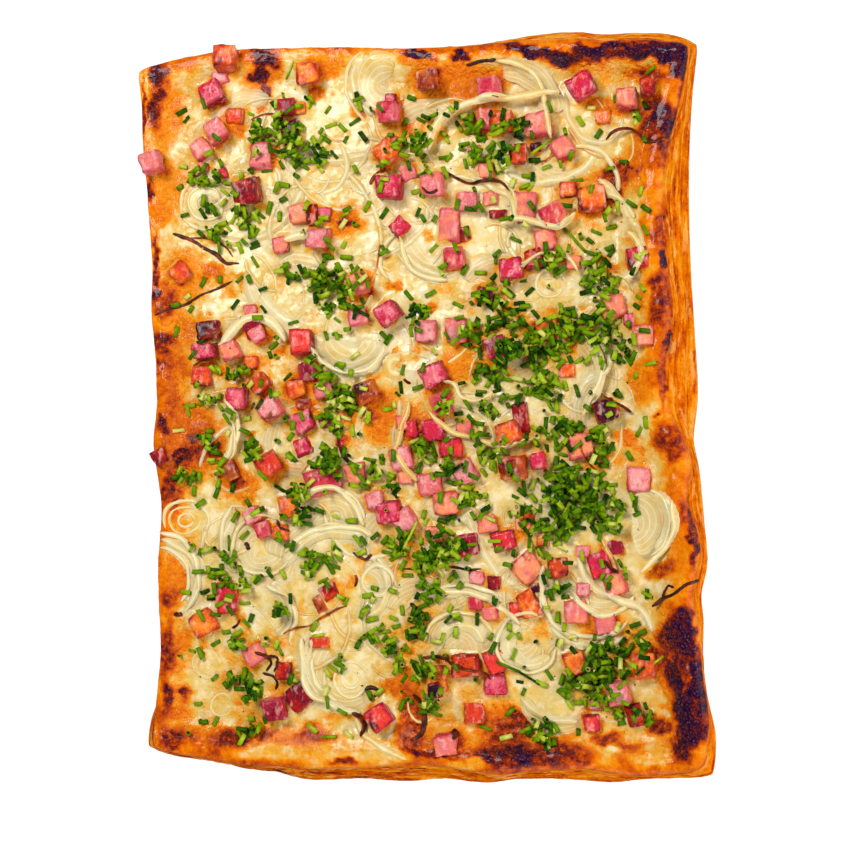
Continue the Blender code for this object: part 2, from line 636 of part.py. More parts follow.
def slice_mesh(stations, half_width, height_at):
    """A curved band that follows the cream, with narrowed ends."""
    mesh = bmesh.new()
    last = len(stations) - 1
    loops = []
    for j, (place, out) in enumerate(stations):
        tip = j in (0, last)
        half = half_width * (ONION_TIP_WIDTH if tip else 1.0)
        tall = ONION_THICK * (ONION_TIP_HEIGHT if tip else 1.0)
        inner = place - out * half
        outer = place + out * half
        around = [place]
        around += [(place + stations[k][0]) / 2 for k in (j - 1, j + 1) if 0 <= k <= last]
        samples = [
            middle + out * half_width * share
            for middle in around
            for share in ONION_SAMPLES
        ]
        base = max(height_at(point.x, point.y) for point in samples) + ONION_GAP
        top_in = place - out * half * ONION_TOP_WIDTH
        top_out = place + out * half * ONION_TOP_WIDTH
        loops.append(
            [
                mesh.verts.new((inner.x, inner.y, base)),
                mesh.verts.new((outer.x, outer.y, base)),
                mesh.verts.new((top_out.x, top_out.y, base + tall)),
                mesh.verts.new((top_in.x, top_in.y, base + tall)),
            ]
        )
    for near, far in zip(loops, loops[1:]):
        for j in range(4):
            k = (j + 1) % 4
            mesh.faces.new((near[j], near[k], far[k], far[j]))
    mesh.faces.new(list(reversed(loops[0])))
    mesh.faces.new(loops[-1])
    bmesh.ops.triangulate(mesh, faces=mesh.faces[:])
    bmesh.ops.recalc_face_normals(mesh, faces=mesh.faces[:])
    return mesh


def make_onions(dice, height_at):
    """One object for each onion slice; a slice is shortened where it would cross a topping."""
    placed = []
    for number, (across, down, radius, width, start, end) in enumerate(ONION_SLICES, 1):
        half_width = plan_length(width) / 2
        stations = arc_stations(across, down, radius, start, end)
        stations = longest_clear_run(stations, half_width, dice, placed)
        if len(stations) < ONION_LEAST_STATIONS:
            continue
        mesh = slice_mesh(stations, half_width, height_at)
        new_object(f"onion_{number:02d}", mesh, "onion")
        placed += [(place, half_width) for place, _ in stations]
    return placed


def clear_of_nodes(corners, dice, onions):
    """Whether a small piece keeps clear of every ham die and onion slice."""
    if not all(boxes_clear(corners, die[0], HAM_MARGIN) for die in dice):
        return False
    return all(
        point_distance(place, corners) > half_width + PIECE_CLEAR
        for place, half_width in onions
    )


def add_small_ham(group, dice, onions, height_at):
    """Smaller dice, sunk a little into the cream."""
    for number, (across, down, wide, long, turn) in enumerate(SMALL_HAM, 1):
        place = on_plan(across, down, MIDDLE_HEIGHT + SMALL_HAM_HEIGHT)
        size = (plan_length(wide), plan_length(long))
        angle = math.radians(turn)
        corners = box_corners(place, size, angle)
        if not clear_of_nodes(corners, dice, onions) or not on_cream(corners):
            continue
        draw = random.Random(SEED - number)
        mesh = die_mesh((size[0], size[1], SMALL_HAM_HEIGHT), draw, "top")
        bmesh.ops.transform(mesh, matrix=Matrix.Rotation(angle, 4, "Z"), verts=mesh.verts)
        lowest = min(height_at(x, y) for x, y in corners)
        middle = lowest - SINK + SMALL_HAM_HEIGHT / 2
        bmesh.ops.translate(mesh, vec=(place[0], place[1], middle), verts=mesh.verts)
        join_later(group, mesh)


def on_cream(corners):
    """Whether these points lie well inside the cream's edge."""
    for x, y in corners:
        u, v = square_of(x, y)
        low_u, low_v = inset_square(-1.0, -1.0, CREAM_INSETS, SLOPE_RING)
        high_u, high_v = inset_square(1.0, 1.0, CREAM_INSETS, SLOPE_RING)
        if not (low_u < u < high_u and low_v < v < high_v):
            return False
    return True


def add_chives(group, dice, onions, height_at):
    """Cut chives, lying in clusters and half sunk in the cream."""
    draw = random.Random(SEED)
    for across, down, spread, count in CHIVE_CLUSTERS:
        made = 0
        for _ in range(count * CHIVE_TRIES):
            if made == count:
                break
            turn = draw.uniform(0, math.pi)
            length = draw.uniform(*CHIVE_LENGTHS)
            place = on_plan(draw.gauss(across, spread / 2), draw.gauss(down, spread / 2), MIDDLE_HEIGHT)
            corners = box_corners(place, (length, 2 * CHIVE_RADIUS), turn)
            if not clear_of_nodes(corners, dice, onions) or not on_cream(corners):
                continue
            mesh = bmesh.new()
            bmesh.ops.create_cone(
                mesh,
                cap_ends=True,
                segments=CHIVE_SIDES,
                radius1=CHIVE_RADIUS,
                radius2=CHIVE_RADIUS,
                depth=length,
            )
            lie = Matrix.Rotation(turn, 4, "Z") @ Matrix.Rotation(math.pi / 2, 4, "Y")
            bmesh.ops.transform(mesh, matrix=lie, verts=mesh.verts)
            level = height_at(*place) + CHIVE_LIFT
            bmesh.ops.translate(mesh, vec=(place[0], place[1], level), verts=mesh.verts)
            join_later(group, mesh)
            made += 1


def join_later(group, mesh):
    """Adds a small piece to the collection that is joined to the cream."""
    data = bpy.data.meshes.new("piece")
    mesh.to_mesh(data)
    mesh.free()
    group.objects.link(bpy.data.objects.new("piece", data))


def fuse(base, group):
    """Joins the collection's pieces to the base by one union, and removes them."""
    modifier = base.modifiers.new("Join", "BOOLEAN")
    modifier.operation = "UNION"
    modifier.operand_type = "COLLECTION"
    modifier.collection = group
    modifier.solver = "EXACT"
    graph = bpy.context.evaluated_depsgraph_get()
    joined = bpy.data.meshes.new_from_object(base.evaluated_get(graph))
    base.modifiers.clear()
    base.data = joined
    for piece in list(group.objects):
        bpy.data.objects.remove(piece)
    bpy.data.collections.remove(group)


def main():
    """Builds the pizza from the sheet up."""
    for obj in list(bpy.data.objects):
        bpy.data.objects.remove(obj)
    pastry = make_pastry()
    cream = make_cream()
    height_at = surface_finder([pastry, cream])
    dice = settled_dice()
    make_ham(dice, height_at)
    onions = make_onions(dice, height_at)
    group = bpy.data.collections.new("joined to the cream")
    bpy.context.scene.collection.children.link(group)
    add_small_ham(group, dice, onions, height_at)
    add_chives(group, dice, onions, height_at)
    fuse(cream, group)


main()
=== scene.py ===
"""Looks of a baked puff pastry pizza: layered crust, browned cream, ham, onion and chives."""

import json
import logging
import math
from dataclasses import dataclass, field
from enum import Enum
from functools import cached_property
from typing import Callable, Iterator, Mapping, Sequence

import bpy
import numpy as np
from mathutils import Matrix, Vector


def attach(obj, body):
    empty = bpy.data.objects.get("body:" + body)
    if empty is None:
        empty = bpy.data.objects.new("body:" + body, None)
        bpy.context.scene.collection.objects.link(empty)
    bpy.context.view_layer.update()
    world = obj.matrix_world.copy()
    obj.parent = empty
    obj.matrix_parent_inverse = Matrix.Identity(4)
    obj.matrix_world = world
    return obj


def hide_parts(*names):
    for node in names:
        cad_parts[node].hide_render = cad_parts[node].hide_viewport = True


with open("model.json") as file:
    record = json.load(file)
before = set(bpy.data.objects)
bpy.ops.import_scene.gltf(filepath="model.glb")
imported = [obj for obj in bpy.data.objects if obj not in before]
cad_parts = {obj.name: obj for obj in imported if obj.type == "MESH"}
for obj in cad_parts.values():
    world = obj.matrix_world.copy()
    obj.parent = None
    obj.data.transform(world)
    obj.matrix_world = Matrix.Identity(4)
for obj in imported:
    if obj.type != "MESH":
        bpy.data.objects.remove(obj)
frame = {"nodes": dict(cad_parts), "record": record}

LOG = logging.getLogger("pizza")
MM = 0.001
ANY_TURN = 6.28
SEED = 41
Array = np.ndarray
Points = Sequence[tuple[float, float]]
Triple = tuple[float, float, float]
Ink = tuple[int, int, int]
Stops = Sequence[tuple[float, Ink]]


def linear(red: int, green: int, blue: int) -> tuple[float, float, float, float]:
    """Turns a screen colour into the one a shader takes.

    Args:
        red: Red from 0 to 255.
        green: Green from 0 to 255.
        blue: Blue from 0 to 255.

    Returns:
        Linear red, green and blue, and full alpha.
    """
    shares = [channel / 255 for channel in (red, green, blue)]
    mixed = [s / 12.92 if s <= 0.04045 else ((s + 0.055) / 1.055) ** 2.4 for s in shares]
    return (mixed[0], mixed[1], mixed[2], 1.0)


def eased(values: Array, low: float, high: float) -> Array:
    """Smooth step from 0 at low to 1 at high."""
    share = np.clip((values - low) / (high - low), 0.0, 1.0)
    return share * share * (3 - 2 * share)


@dataclass(frozen=True)
class Plan:
    """The view over the table, which turns plan units into places and back.

    Places on the food are named in plan units: across from the left and down from
    the top of a square of 850 units, seen by an eye that leans a little.
    """

    distance: float = 0.70
    focus: float = 1505.0
    middle: float = 425.0
    aim: Triple = (0.0050, -0.0080, 0.0100)
    lean_x: float = math.radians(10)
    lean_y: float = math.radians(2)

    def turn(self) -> Matrix:
        """The eye's axes as columns: right, up and back."""
        return Matrix.Rotation(self.lean_x, 3, "Y") @ Matrix.Rotation(self.lean_y, 3, "X")

    def axes(self) -> Iterator[Array]:
        """The eye's right, up and back."""
        return (np.array(self.turn().col[i]) for i in range(3))

    def eye(self) -> Array:
        """Where the eye is."""
        return np.array(self.aim) + self.distance * np.array(self.turn().col[2])

    def place(self, across: Array, down: Array, level: float) -> tuple:
        """The place at a height that is seen at a plan point.

        Args:
            across: Plan units from the left.
            down: Plan units from the top.
            level: Height above the table in metres.

        Returns:
            The x and y of the place.
        """
        right, up, back = self.axes()
        side = (np.asarray(across, float) - self.middle) / self.focus
        rise = (self.middle - np.asarray(down, float)) / self.focus
        ray = side[..., None] * right + rise[..., None] * up - back
        eye = self.eye()
        spot = eye + ray * ((level - eye[2]) / ray[..., 2])[..., None]
        return spot[..., 0], spot[..., 1]

    def seen(self, x: Array, y: Array, z: Array) -> tuple:
        """The plan point at which a place is seen.

        Args:
            x: Place across, in metres.
            y: Place along, in metres.
            z: Height, in metres.

        Returns:
            Plan units across and down.
        """
        right, up, back = self.axes()
        spot = np.stack(np.broadcast_arrays(x, y, z), axis=-1) - self.eye()
        side, rise = (self.focus * (spot @ axis) / -(spot @ back) for axis in (right, up))
        return self.middle + side, self.middle - rise

    def length(self, units: float) -> float:
        """The real length of some plan units."""
        return units * self.distance / self.focus


@dataclass
class Grain:
    """Seeded value noise over the plan, for relief and for uneven browning."""

    seed: int
    size: int = 256
    value_origin: tuple[float, float] = (97.0, 61.0)
    cell_origin: tuple[float, float] = (53.0, 29.0)
    cell_stray: float = 0.5
    sum_gain: float = 1.35

    def __post_init__(self) -> None:
        """Draws the lattice of values."""
        self.table = np.random.default_rng(self.seed).uniform(-1, 1, (self.size, self.size))

    @staticmethod
    def lattice(x: Array, y: Array, width: float, origin: tuple) -> tuple:
        """Finds places on the lattice.

        Args:
            x: Places across, in metres.
            y: Places along, in metres.
            width: Cell width in metres.
            origin: Where the lattice starts, in cells.

        Returns:
            Cells across and along, then the whole column and row.
        """
        across, along = np.asarray(x) / width + origin[0], np.asarray(y) / width + origin[1]
        return across, along, np.floor(across).astype(int), np.floor(along).astype(int)

    def value(self, x: Array, y: Array, width: float) -> Array:
        """Smooth noise of -1 to 1 with cells of a width.

        Args:
            x: Places across, in metres.
            y: Places along, in metres.
            width: Cell width in metres.

        Returns:
            The noise at the places.
        """
        across, along, column, row = self.lattice(x, y, width, self.value_origin)
        s, t = across - column, along - row
        s, t = s * s * (3 - 2 * s), t * t * (3 - 2 * t)
        a, b = column % self.size, row % self.size
        c, d = (column + 1) % self.size, (row + 1) % self.size
        low = self.table[a, b] * (1 - s) + self.table[c, b] * s
        high = self.table[a, d] * (1 - s) + self.table[c, d] * s
        return low * (1 - t) + high * t

    def fractal(self, x: Array, y: Array, width: float, turns: int = 3) -> Array:
        """Noise of several widths, each half of the last.

        Args:
            x: Places across, in metres.
            y: Places along, in metres.
            width: Widest cell in metres.
            turns: How many widths are summed.

        Returns:
            The noise, about -1 to 1.
        """
        total, weight = np.zeros(np.shape(x)), 0.0
        for turn in range(turns):
            share = 0.5**turn
            total = total + share * self.value(x, y, width * share)
            weight += share
        return total / weight * self.sum_gain

    def cells(self, x: Array, y: Array, width: float) -> Array:
        """Distance to the nearest scattered point, in cell widths.

        Args:
            x: Places across, in metres.
            y: Places along, in metres.
            width: Cell width in metres.

        Returns:
            The distances, 0 at a point and about 1 far from one.
        """
        across, along, column, row = self.lattice(x, y, width, self.cell_origin)
        nearest = np.full(np.shape(across), np.inf)
        for i in (-1, 0, 1):
            for j in (-1, 0, 1):
                a, b = (column + i) % self.size, (row + j) % self.size
                stray = self.table[a, b], self.table[b, (a + 7) % self.size]
                right = column + i + 0.5 + stray[0] * self.cell_stray - across
                ahead = row + j + 0.5 + stray[1] * self.cell_stray - along
                nearest = np.minimum(nearest, np.hypot(right, ahead))
        return nearest


@dataclass(frozen=True)
class SheetForm:
    """The puffed sheet's form: outlines of its foot and ridge, and heights over it."""

    plan: Plan = Plan()
    width: float = 0.262
    length: float = 0.340
    middle: float = 0.0105
    crest_width: float = 0.0035
    crest_drop: float = 0.14
    blend: float = 4.0
    corner_cut: float = 0.012
    corner_sharpness: float = 24.0
    bubble_fall: float = 1.8
    bed_gap: float = 0.0002
    searches: int = 8
    sides: tuple[str, ...] = ("left", "right", "bottom", "top")
    insets: tuple[float, float, float, float] = (0.0045, 0.0110, 0.0070, 0.0055)
    slopes: tuple[float, float, float, float] = (0.015, 0.024, 0.020, 0.017)
    ridge_levels: tuple[float, float, float, float] = (0.0138, 0.0200, 0.0165, 0.0155)
    ridge_left: Points = (
        (155, 750), (156, 708), (160, 650), (158, 604), (158, 555), (162, 515), (159, 485),
        (154, 448), (157, 399), (155, 356), (151, 320), (151, 265), (147, 200), (142, 140),
        (140, 98), (136, 68),
    )
    ridge_right: Points = (
        (706, 765), (709, 725), (702, 670), (698, 630), (692, 600), (699, 545), (686, 500),
        (690, 458), (668, 415), (663, 370), (669, 330), (664, 262), (660, 205), (667, 150),
        (680, 100), (690, 50),
    )
    ridge_bottom: Points = (
        (155, 750), (200, 757), (240, 764), (285, 767), (330, 768), (370, 767), (420, 763),
        (470, 769), (500, 772), (545, 769), (590, 769), (620, 774), (660, 775), (706, 765),
    )
    ridge_top: Points = (
        (136, 68), (180, 57), (225, 49), (285, 47), (345, 46), (400, 48), (470, 46), (515, 43),
        (545, 42), (575, 40), (600, 42), (640, 41), (690, 45),
    )
    foot_left: Points = (
        (145, 748), (150, 722), (160, 694), (164, 650), (163, 604), (162, 555), (166, 515),
        (163, 485), (159, 440), (161, 399), (159, 356), (155, 320), (155, 265), (151, 200),
        (146, 140), (144, 98), (141, 74),
    )
    foot_right: Points = (
        (717, 779), (716, 736), (706, 690), (703, 655), (704, 620), (702, 597), (707, 570),
        (706, 533), (701, 480), (695, 446), (699, 400), (696, 335), (692, 270), (690, 180),
        (692, 115), (694, 90), (697, 68), (702, 44),
    )
    foot_bottom: Points = (
        (145, 748), (180, 756), (218, 761), (242, 767), (277, 772), (303, 779), (360, 779),
        (413, 782), (444, 779), (487, 783), (520, 779), (584, 781), (610, 783), (643, 779),
        (717, 779),
    )
    foot_top: Points = (
        (141, 74), (180, 62), (225, 54), (285, 51), (345, 50), (400, 51), (470, 48), (515, 39),
        (545, 34), (575, 32), (600, 34), (640, 33), (670, 34), (702, 42),
    )
    height_left: Points = ((0, 16.5), (0.12, 13.5), (0.3, 13.5), (0.44, 15), (0.6, 13), (1, 13.5))
    height_right: Points = ((0, 21), (0.1, 22.5), (0.25, 21.5), (0.45, 19), (0.6, 20), (1, 18.5))
    height_bottom: Points = (
        (0, 16.5), (0.2, 15.5), (0.45, 16), (0.62, 18.5), (0.85, 16.5), (1, 19),
    )
    height_top: Points = ((0, 13.5), (0.25, 13), (0.5, 15), (0.7, 17), (0.85, 18), (1, 18.5))
    # Low waves: rise, waves and shift across, waves and shift along.
    swells: tuple = ((0.0004, 95, 1.3, 80, 0.4), (0.0003, 210, -0.6, 190, 2.1))
    # Blisters: across, down and radius in plan units, and rise in millimetres.
    bubbles: tuple = (
        (192, 447, 26, 2.6), (165, 345, 14, 1.0), (345, 222, 17, 2.0), (500, 745, 30, 2.2),
        (566, 755, 20, 1.2), (232, 742, 18, 1.4), (172, 742, 18, 1.0), (412, 720, 22, 1.6),
        (460, 80, 38, 1.4), (590, 60, 26, 1.2), (630, 165, 20, 1.3), (648, 262, 18, 1.0),
        (670, 440, 18, 1.4), (625, 436, 20, 1.4), (665, 565, 16, 1.2), (682, 690, 26, 1.0),
        (656, 728, 16, 1.2), (618, 742, 20, 1.3), (160, 90, 18, 1.2), (244, 487, 16, 1.4),
        (375, 425, 22, 1.2), (460, 365, 22, 1.2), (400, 683, 20, 1.2), (320, 735, 24, 1.2),
    )

    @staticmethod
    def through(places: Sequence[float], values: Sequence[float]) -> Callable:
        """A smooth curve through values at rising places.

        Args:
            places: Where the values stand.
            values: The values there.

        Returns:
            A function that gives the curve at any places.
        """
        at, given = np.asarray(places, float), np.asarray(values, float)
        slopes = np.gradient(given, at)

        def curve(place: Array) -> Array:
            """Gives the curve at some places.

            Args:
                place: The places, held within the known ones.

            Returns:
                The values there.
            """
            place = np.clip(place, at[0], at[-1])
            j = np.clip(np.searchsorted(at, place) - 1, 0, len(at) - 2)
            gap = at[j + 1] - at[j]
            t = (place - at[j]) / gap
            return (
                (2 * t**3 - 3 * t**2 + 1) * given[j] + (t**3 - 2 * t**2 + t) * gap * slopes[j]
                + (3 * t**2 - 2 * t**3) * given[j + 1] + (t**3 - t**2) * gap * slopes[j + 1]
            )

        return curve

    def side(self, points: Points, level: float, upright: bool) -> Callable:
        """One side of an outline as a curve over the share along it.

        Args:
            points: Plan points along the side.
            level: Height at which they are seen.
            upright: Whether the side runs along the sheet, as left and right do.

        Returns:
            A function of the share that gives the cross coordinate.
        """
        x, y = self.plan.place(*np.array(points, float).T, level)
        along, cross = (y, x) if upright else (x, y)
        return self.through((along - along[0]) / (along[-1] - along[0]), cross)

    def outline(self, kind: str, levels: Sequence[float]) -> tuple:
        """The four sides of an outline.

        Args:
            kind: Which one, foot or ridge.
            levels: Height at which each side is seen.

        Returns:
            Curves for left, right, bottom and top.
        """
        return tuple(
            self.side(getattr(self, f"{kind}_{name}"), level, name in self.sides[:2])
            for name, level in zip(self.sides, levels)
        )

    @cached_property
    def ridge(self) -> tuple:
        """The sides of the ridge."""
        return self.outline("ridge", self.ridge_levels)

    @cached_property
    def foot(self) -> tuple:
        """The sides of the foot."""
        return self.outline("foot", (0.0, 0.0, 0.0, 0.0))

    @cached_property
    def rises(self) -> tuple:
        """Ridge height over each side's share: left, right, bottom and top."""
        rows = (getattr(self, f"height_{name}") for name in self.sides)
        return tuple(self.through(*zip(*((s, h * MM) for s, h in row))) for row in rows)

    def place_in(self, sides: tuple, u: Array, v: Array) -> tuple:
        """Stretches a point of the square from -1 to 1 into an outline.

        Args:
            sides: The outline's four sides.
            u: Square coordinate across.
            v: Square coordinate along.

        Returns:
            The x and y of the place.
        """
        cut = 1 - self.corner_cut * np.abs(u * v) ** self.corner_sharpness
        s, t = (u * cut + 1) / 2, (v * cut + 1) / 2
        left, right, bottom, top = sides
        return (1 - s) * left(t) + s * right(t), (1 - t) * bottom(s) + t * top(s)

    def square_of(self, x: Array, y: Array) -> tuple:
        """Searches the square coordinates whose place inside the ridge is x and y.

        Args:
            x: Places across.
            y: Places along.

        Returns:
            The square coordinates.
        """
        u = np.clip(2 * np.asarray(x) / self.width, -1, 1)
        v = np.clip(2 * np.asarray(y) / self.length, -1, 1)
        for _ in range(self.searches):
            at_x, at_y = self.place_in(self.ridge, u, v)
            u = np.clip(u - 2 * (at_x - x) / self.width, -1, 1)
            v = np.clip(v - 2 * (at_y - y) / self.length, -1, 1)
        return u, v

    def inward(self, u: Array, v: Array) -> tuple:
        """Distance from each side of the ridge: left, right, bottom and top."""
        s, t = (np.asarray(u) + 1) / 2, (np.asarray(v) + 1) / 2
        return s * self.width, (1 - s) * self.width, t * self.length, (1 - t) * self.length

    def top(self, u: Array, v: Array) -> Array:
        """Height of the finished top, crust and cream alike.

        Args:
            u: Square coordinate across.
            v: Square coordinate along.

        Returns:
            The heights in metres.
        """
        s, t = (np.asarray(u, float) + 1) / 2, (np.asarray(v, float) + 1) / 2
        total = np.zeros(np.broadcast(s, t).shape)
        for curve, along, inward, width in zip(
            self.rises, (t, t, s, s), self.inward(u, v), self.slopes
        ):
            crest = 1 - self.crest_drop * (1 - np.clip(inward / self.crest_width, 0, 1)) ** 2
            fall = np.clip((inward - self.crest_width) / (width - self.crest_width), 0, 1)
            share = crest * (0.5 + 0.5 * np.cos(math.pi * fall))
            total += ((curve(along) - self.middle) * share) ** self.blend
        height = self.middle + total ** (1 / self.blend)
        x, y = self.place_in(self.ridge, u, v)
        for rise, waves_x, shift_x, waves_y, shift_y in self.swells:
            height += rise * np.sin(waves_x * x + shift_x) * np.sin(waves_y * y + shift_y)
        for across, down, radius, rise in self.bubbles:
            at_x, at_y = self.plan.place(across, down, self.middle)
            gap = np.hypot(x - at_x, y - at_y) / self.plan.length(radius)
            height += rise * MM * np.exp(-self.bubble_fall * gap * gap)
        return height

    def inset(self, u: Array, v: Array, more: float = 0.0, share: float = 1.0) -> tuple:
        """Draws square coordinates in from the ridge to the cream's edge and beyond.

        Args:
            u: Square coordinate across.
            v: Square coordinate along.
            more: Further distance inward, in metres.
            share: Share of the way from the ridge to the cream's edge.

        Returns:
            The drawn-in square coordinates.
        """
        left, right, bottom, top = (edge * share + more for edge in self.insets)
        low_u, high_u = -1 + 2 * left / self.width, 1 - 2 * right / self.width
        low_v, high_v = -1 + 2 * bottom / self.length, 1 - 2 * top / self.length
        return low_u + (u + 1) / 2 * (high_u - low_u), low_v + (v + 1) / 2 * (high_v - low_v)

    def tucked(self, u: Array, v: Array, more: float, drop: float, bed: float) -> Array:
        """A ring of points that runs in under the cream's edge.

        Args:
            u: Square coordinate across.
            v: Square coordinate along.
            more: Distance inward from the cream's edge.
            drop: Depth under the top, or 0 for the flat bed itself.
            bed: Height of the bed.

        Returns:
            The points as rows.
        """
        at = self.inset(u, v, more)
        x, y = self.place_in(self.ridge, *at)
        z = np.maximum(bed + self.bed_gap, self.top(*at) - drop) if drop else np.full(len(x), bed)
        return np.column_stack([x, y, z])


FORM = SheetForm()
PLAN = FORM.plan
TOPPED = FORM.middle + 0.002
FINE = Grain(SEED)
BROAD = Grain(SEED + 1)


@dataclass(frozen=True)
class TopRelief:
    """Small lumps and pits shared by the crust's rim and the cream.

    Heights are in millimetres, widths in metres.
    """

    lump: float = 0.42
    lump_width: float = 0.011
    curd: float = 0.30
    curd_width: float = 0.0042
    pebble: float = 0.22
    pebble_width: float = 0.0026
    grit: float = 0.12
    grit_width: float = 0.0013

    def at(self, x: Array, y: Array) -> Array:
        """Heights to add to the smooth form.

        Args:
            x: Places across.
            y: Places along.

        Returns:
            The heights in metres.
        """
        lumps = self.lump * FINE.fractal(x, y, self.lump_width)
        lumps = lumps + self.curd * BROAD.fractal(x, y, self.curd_width)
        pebbles = self.pebble * (0.5 - FINE.cells(x, y, self.pebble_width))
        pebbles = pebbles + self.grit * FINE.value(x, y, self.grit_width)
        return (lumps + pebbles) * MM


RELIEF = TopRelief()


class Bench:
    """Small helpers for modelling with operators."""

    @staticmethod
    def clear() -> None:
        """Leaves nothing selected, in object mode."""
        if bpy.context.mode != "OBJECT":
            bpy.ops.object.mode_set(mode="OBJECT")
        bpy.ops.object.select_all(action="DESELECT")

    @staticmethod
    def only(obj: bpy.types.Object) -> None:
        """Makes a piece the one selected and active.

        Args:
            obj: The piece.
        """
        Bench.clear()
        obj.select_set(True)
        bpy.context.view_layer.objects.active = obj

    @staticmethod
    def model(name: str, add: Callable, **sizes: object) -> bpy.types.Object:
        """Starts a piece from a primitive.

        Args:
            name: The piece's name.
            add: Operator that adds the primitive.
            sizes: The operator's settings.

        Returns:
            The new piece.
        """
        Bench.clear()
        add(**sizes)
        obj = bpy.context.active_object
        obj.name = obj.data.name = name
        return obj

    @staticmethod
    def thicken(obj: bpy.types.Object, thickness: float, offset: float) -> bpy.types.Object:
        """Gives a piece walls.

        Args:
            obj: The piece, an open surface.
            thickness: The wall's thickness.
            offset: Which way it grows, -1 for inward.

        Returns:
            The same piece.
        """
        wall = obj.modifiers.new("wall", "SOLIDIFY")
        wall.thickness, wall.offset = thickness, offset
        Bench.only(obj)
        bpy.ops.object.modifier_apply(modifier=wall.name)
        return obj

    @staticmethod
    def points(obj: bpy.types.Object) -> Array:
        """The piece's vertices as rows of x, y and z.

        Args:
            obj: The piece.

        Returns:
            The rows.
        """
        flat = np.empty(len(obj.data.vertices) * 3)
        obj.data.vertices.foreach_get("co", flat)
        return flat.reshape(-1, 3)

    @staticmethod
    def move(obj: bpy.types.Object, points: Array) -> None:
        """Puts the piece's vertices at new points."""
        obj.data.vertices.foreach_set("co", np.ascontiguousarray(points, float).ravel())
        obj.data.update()

    @staticmethod
    def store(obj: bpy.types.Object, **named: Array) -> None:
        """Keeps one number a vertex under each name.

        Args:
            obj: The piece.
            named: The numbers by name.
        """
        for name, values in named.items():
            layer = obj.data.attributes.get(name)
            layer = layer or obj.data.attributes.new(name, "FLOAT", "POINT")
            layer.data.foreach_set("value", np.ascontiguousarray(values, np.float32))

    @staticmethod
    def read(obj: bpy.types.Object, name: str) -> Array:
        """The numbers kept under a name.

        Args:
            obj: The piece.
            name: The attribute's name.

        Returns:
            One number a vertex.
        """
        values = np.empty(len(obj.data.vertices), np.float32)
        obj.data.attributes[name].data.foreach_get("value", values)
        return values.astype(float)

    @staticmethod
    def choose(obj: bpy.types.Object, chosen: Array) -> None:
        """Selects vertices in object mode, with the edges between them.

        Args:
            obj: The piece.
            chosen: Whether each vertex is taken.
        """
        mesh = obj.data
        mesh.vertices.foreach_set("select", chosen)
        ends = np.empty(len(mesh.edges) * 2, np.int32)
        mesh.edges.foreach_get("vertices", ends)
        mesh.edges.foreach_set("select", chosen[ends].reshape(-1, 2).all(axis=1))
        mesh.polygons.foreach_set("select", np.zeros(len(mesh.polygons), bool))

    @staticmethod
    def edit(obj: bpy.types.Object, *steps: Callable) -> None:
        """Runs operators on what is chosen of a piece, in edit mode.

        Args:
            obj: The piece.
            steps: The operators in order.
        """
        bpy.context.view_layer.objects.active = obj
        bpy.ops.object.mode_set(mode="EDIT")
        bpy.ops.mesh.select_mode(type="VERT")
        for step in steps:
            step()
        Bench.clear()

    @staticmethod
    def everything() -> None:
        """Selects all of the piece that is being edited."""
        bpy.ops.mesh.select_all(action="SELECT")

    @staticmethod
    def finish(obj: bpy.types.Object, material: bpy.types.Material) -> None:
        """Closes the piece: faces outward, smooth shading and its material.

        Args:
            obj: The piece.
            material: What it is dressed in.
        """
        Bench.only(obj)
        bpy.ops.object.mode_set(mode="EDIT")
        bpy.ops.mesh.select_all(action="SELECT")
        bpy.ops.mesh.normals_make_consistent(inside=False)
        bpy.ops.object.mode_set(mode="OBJECT")
        bpy.ops.object.shade_smooth()
        obj.data.materials.clear()
        obj.data.materials.append(material)


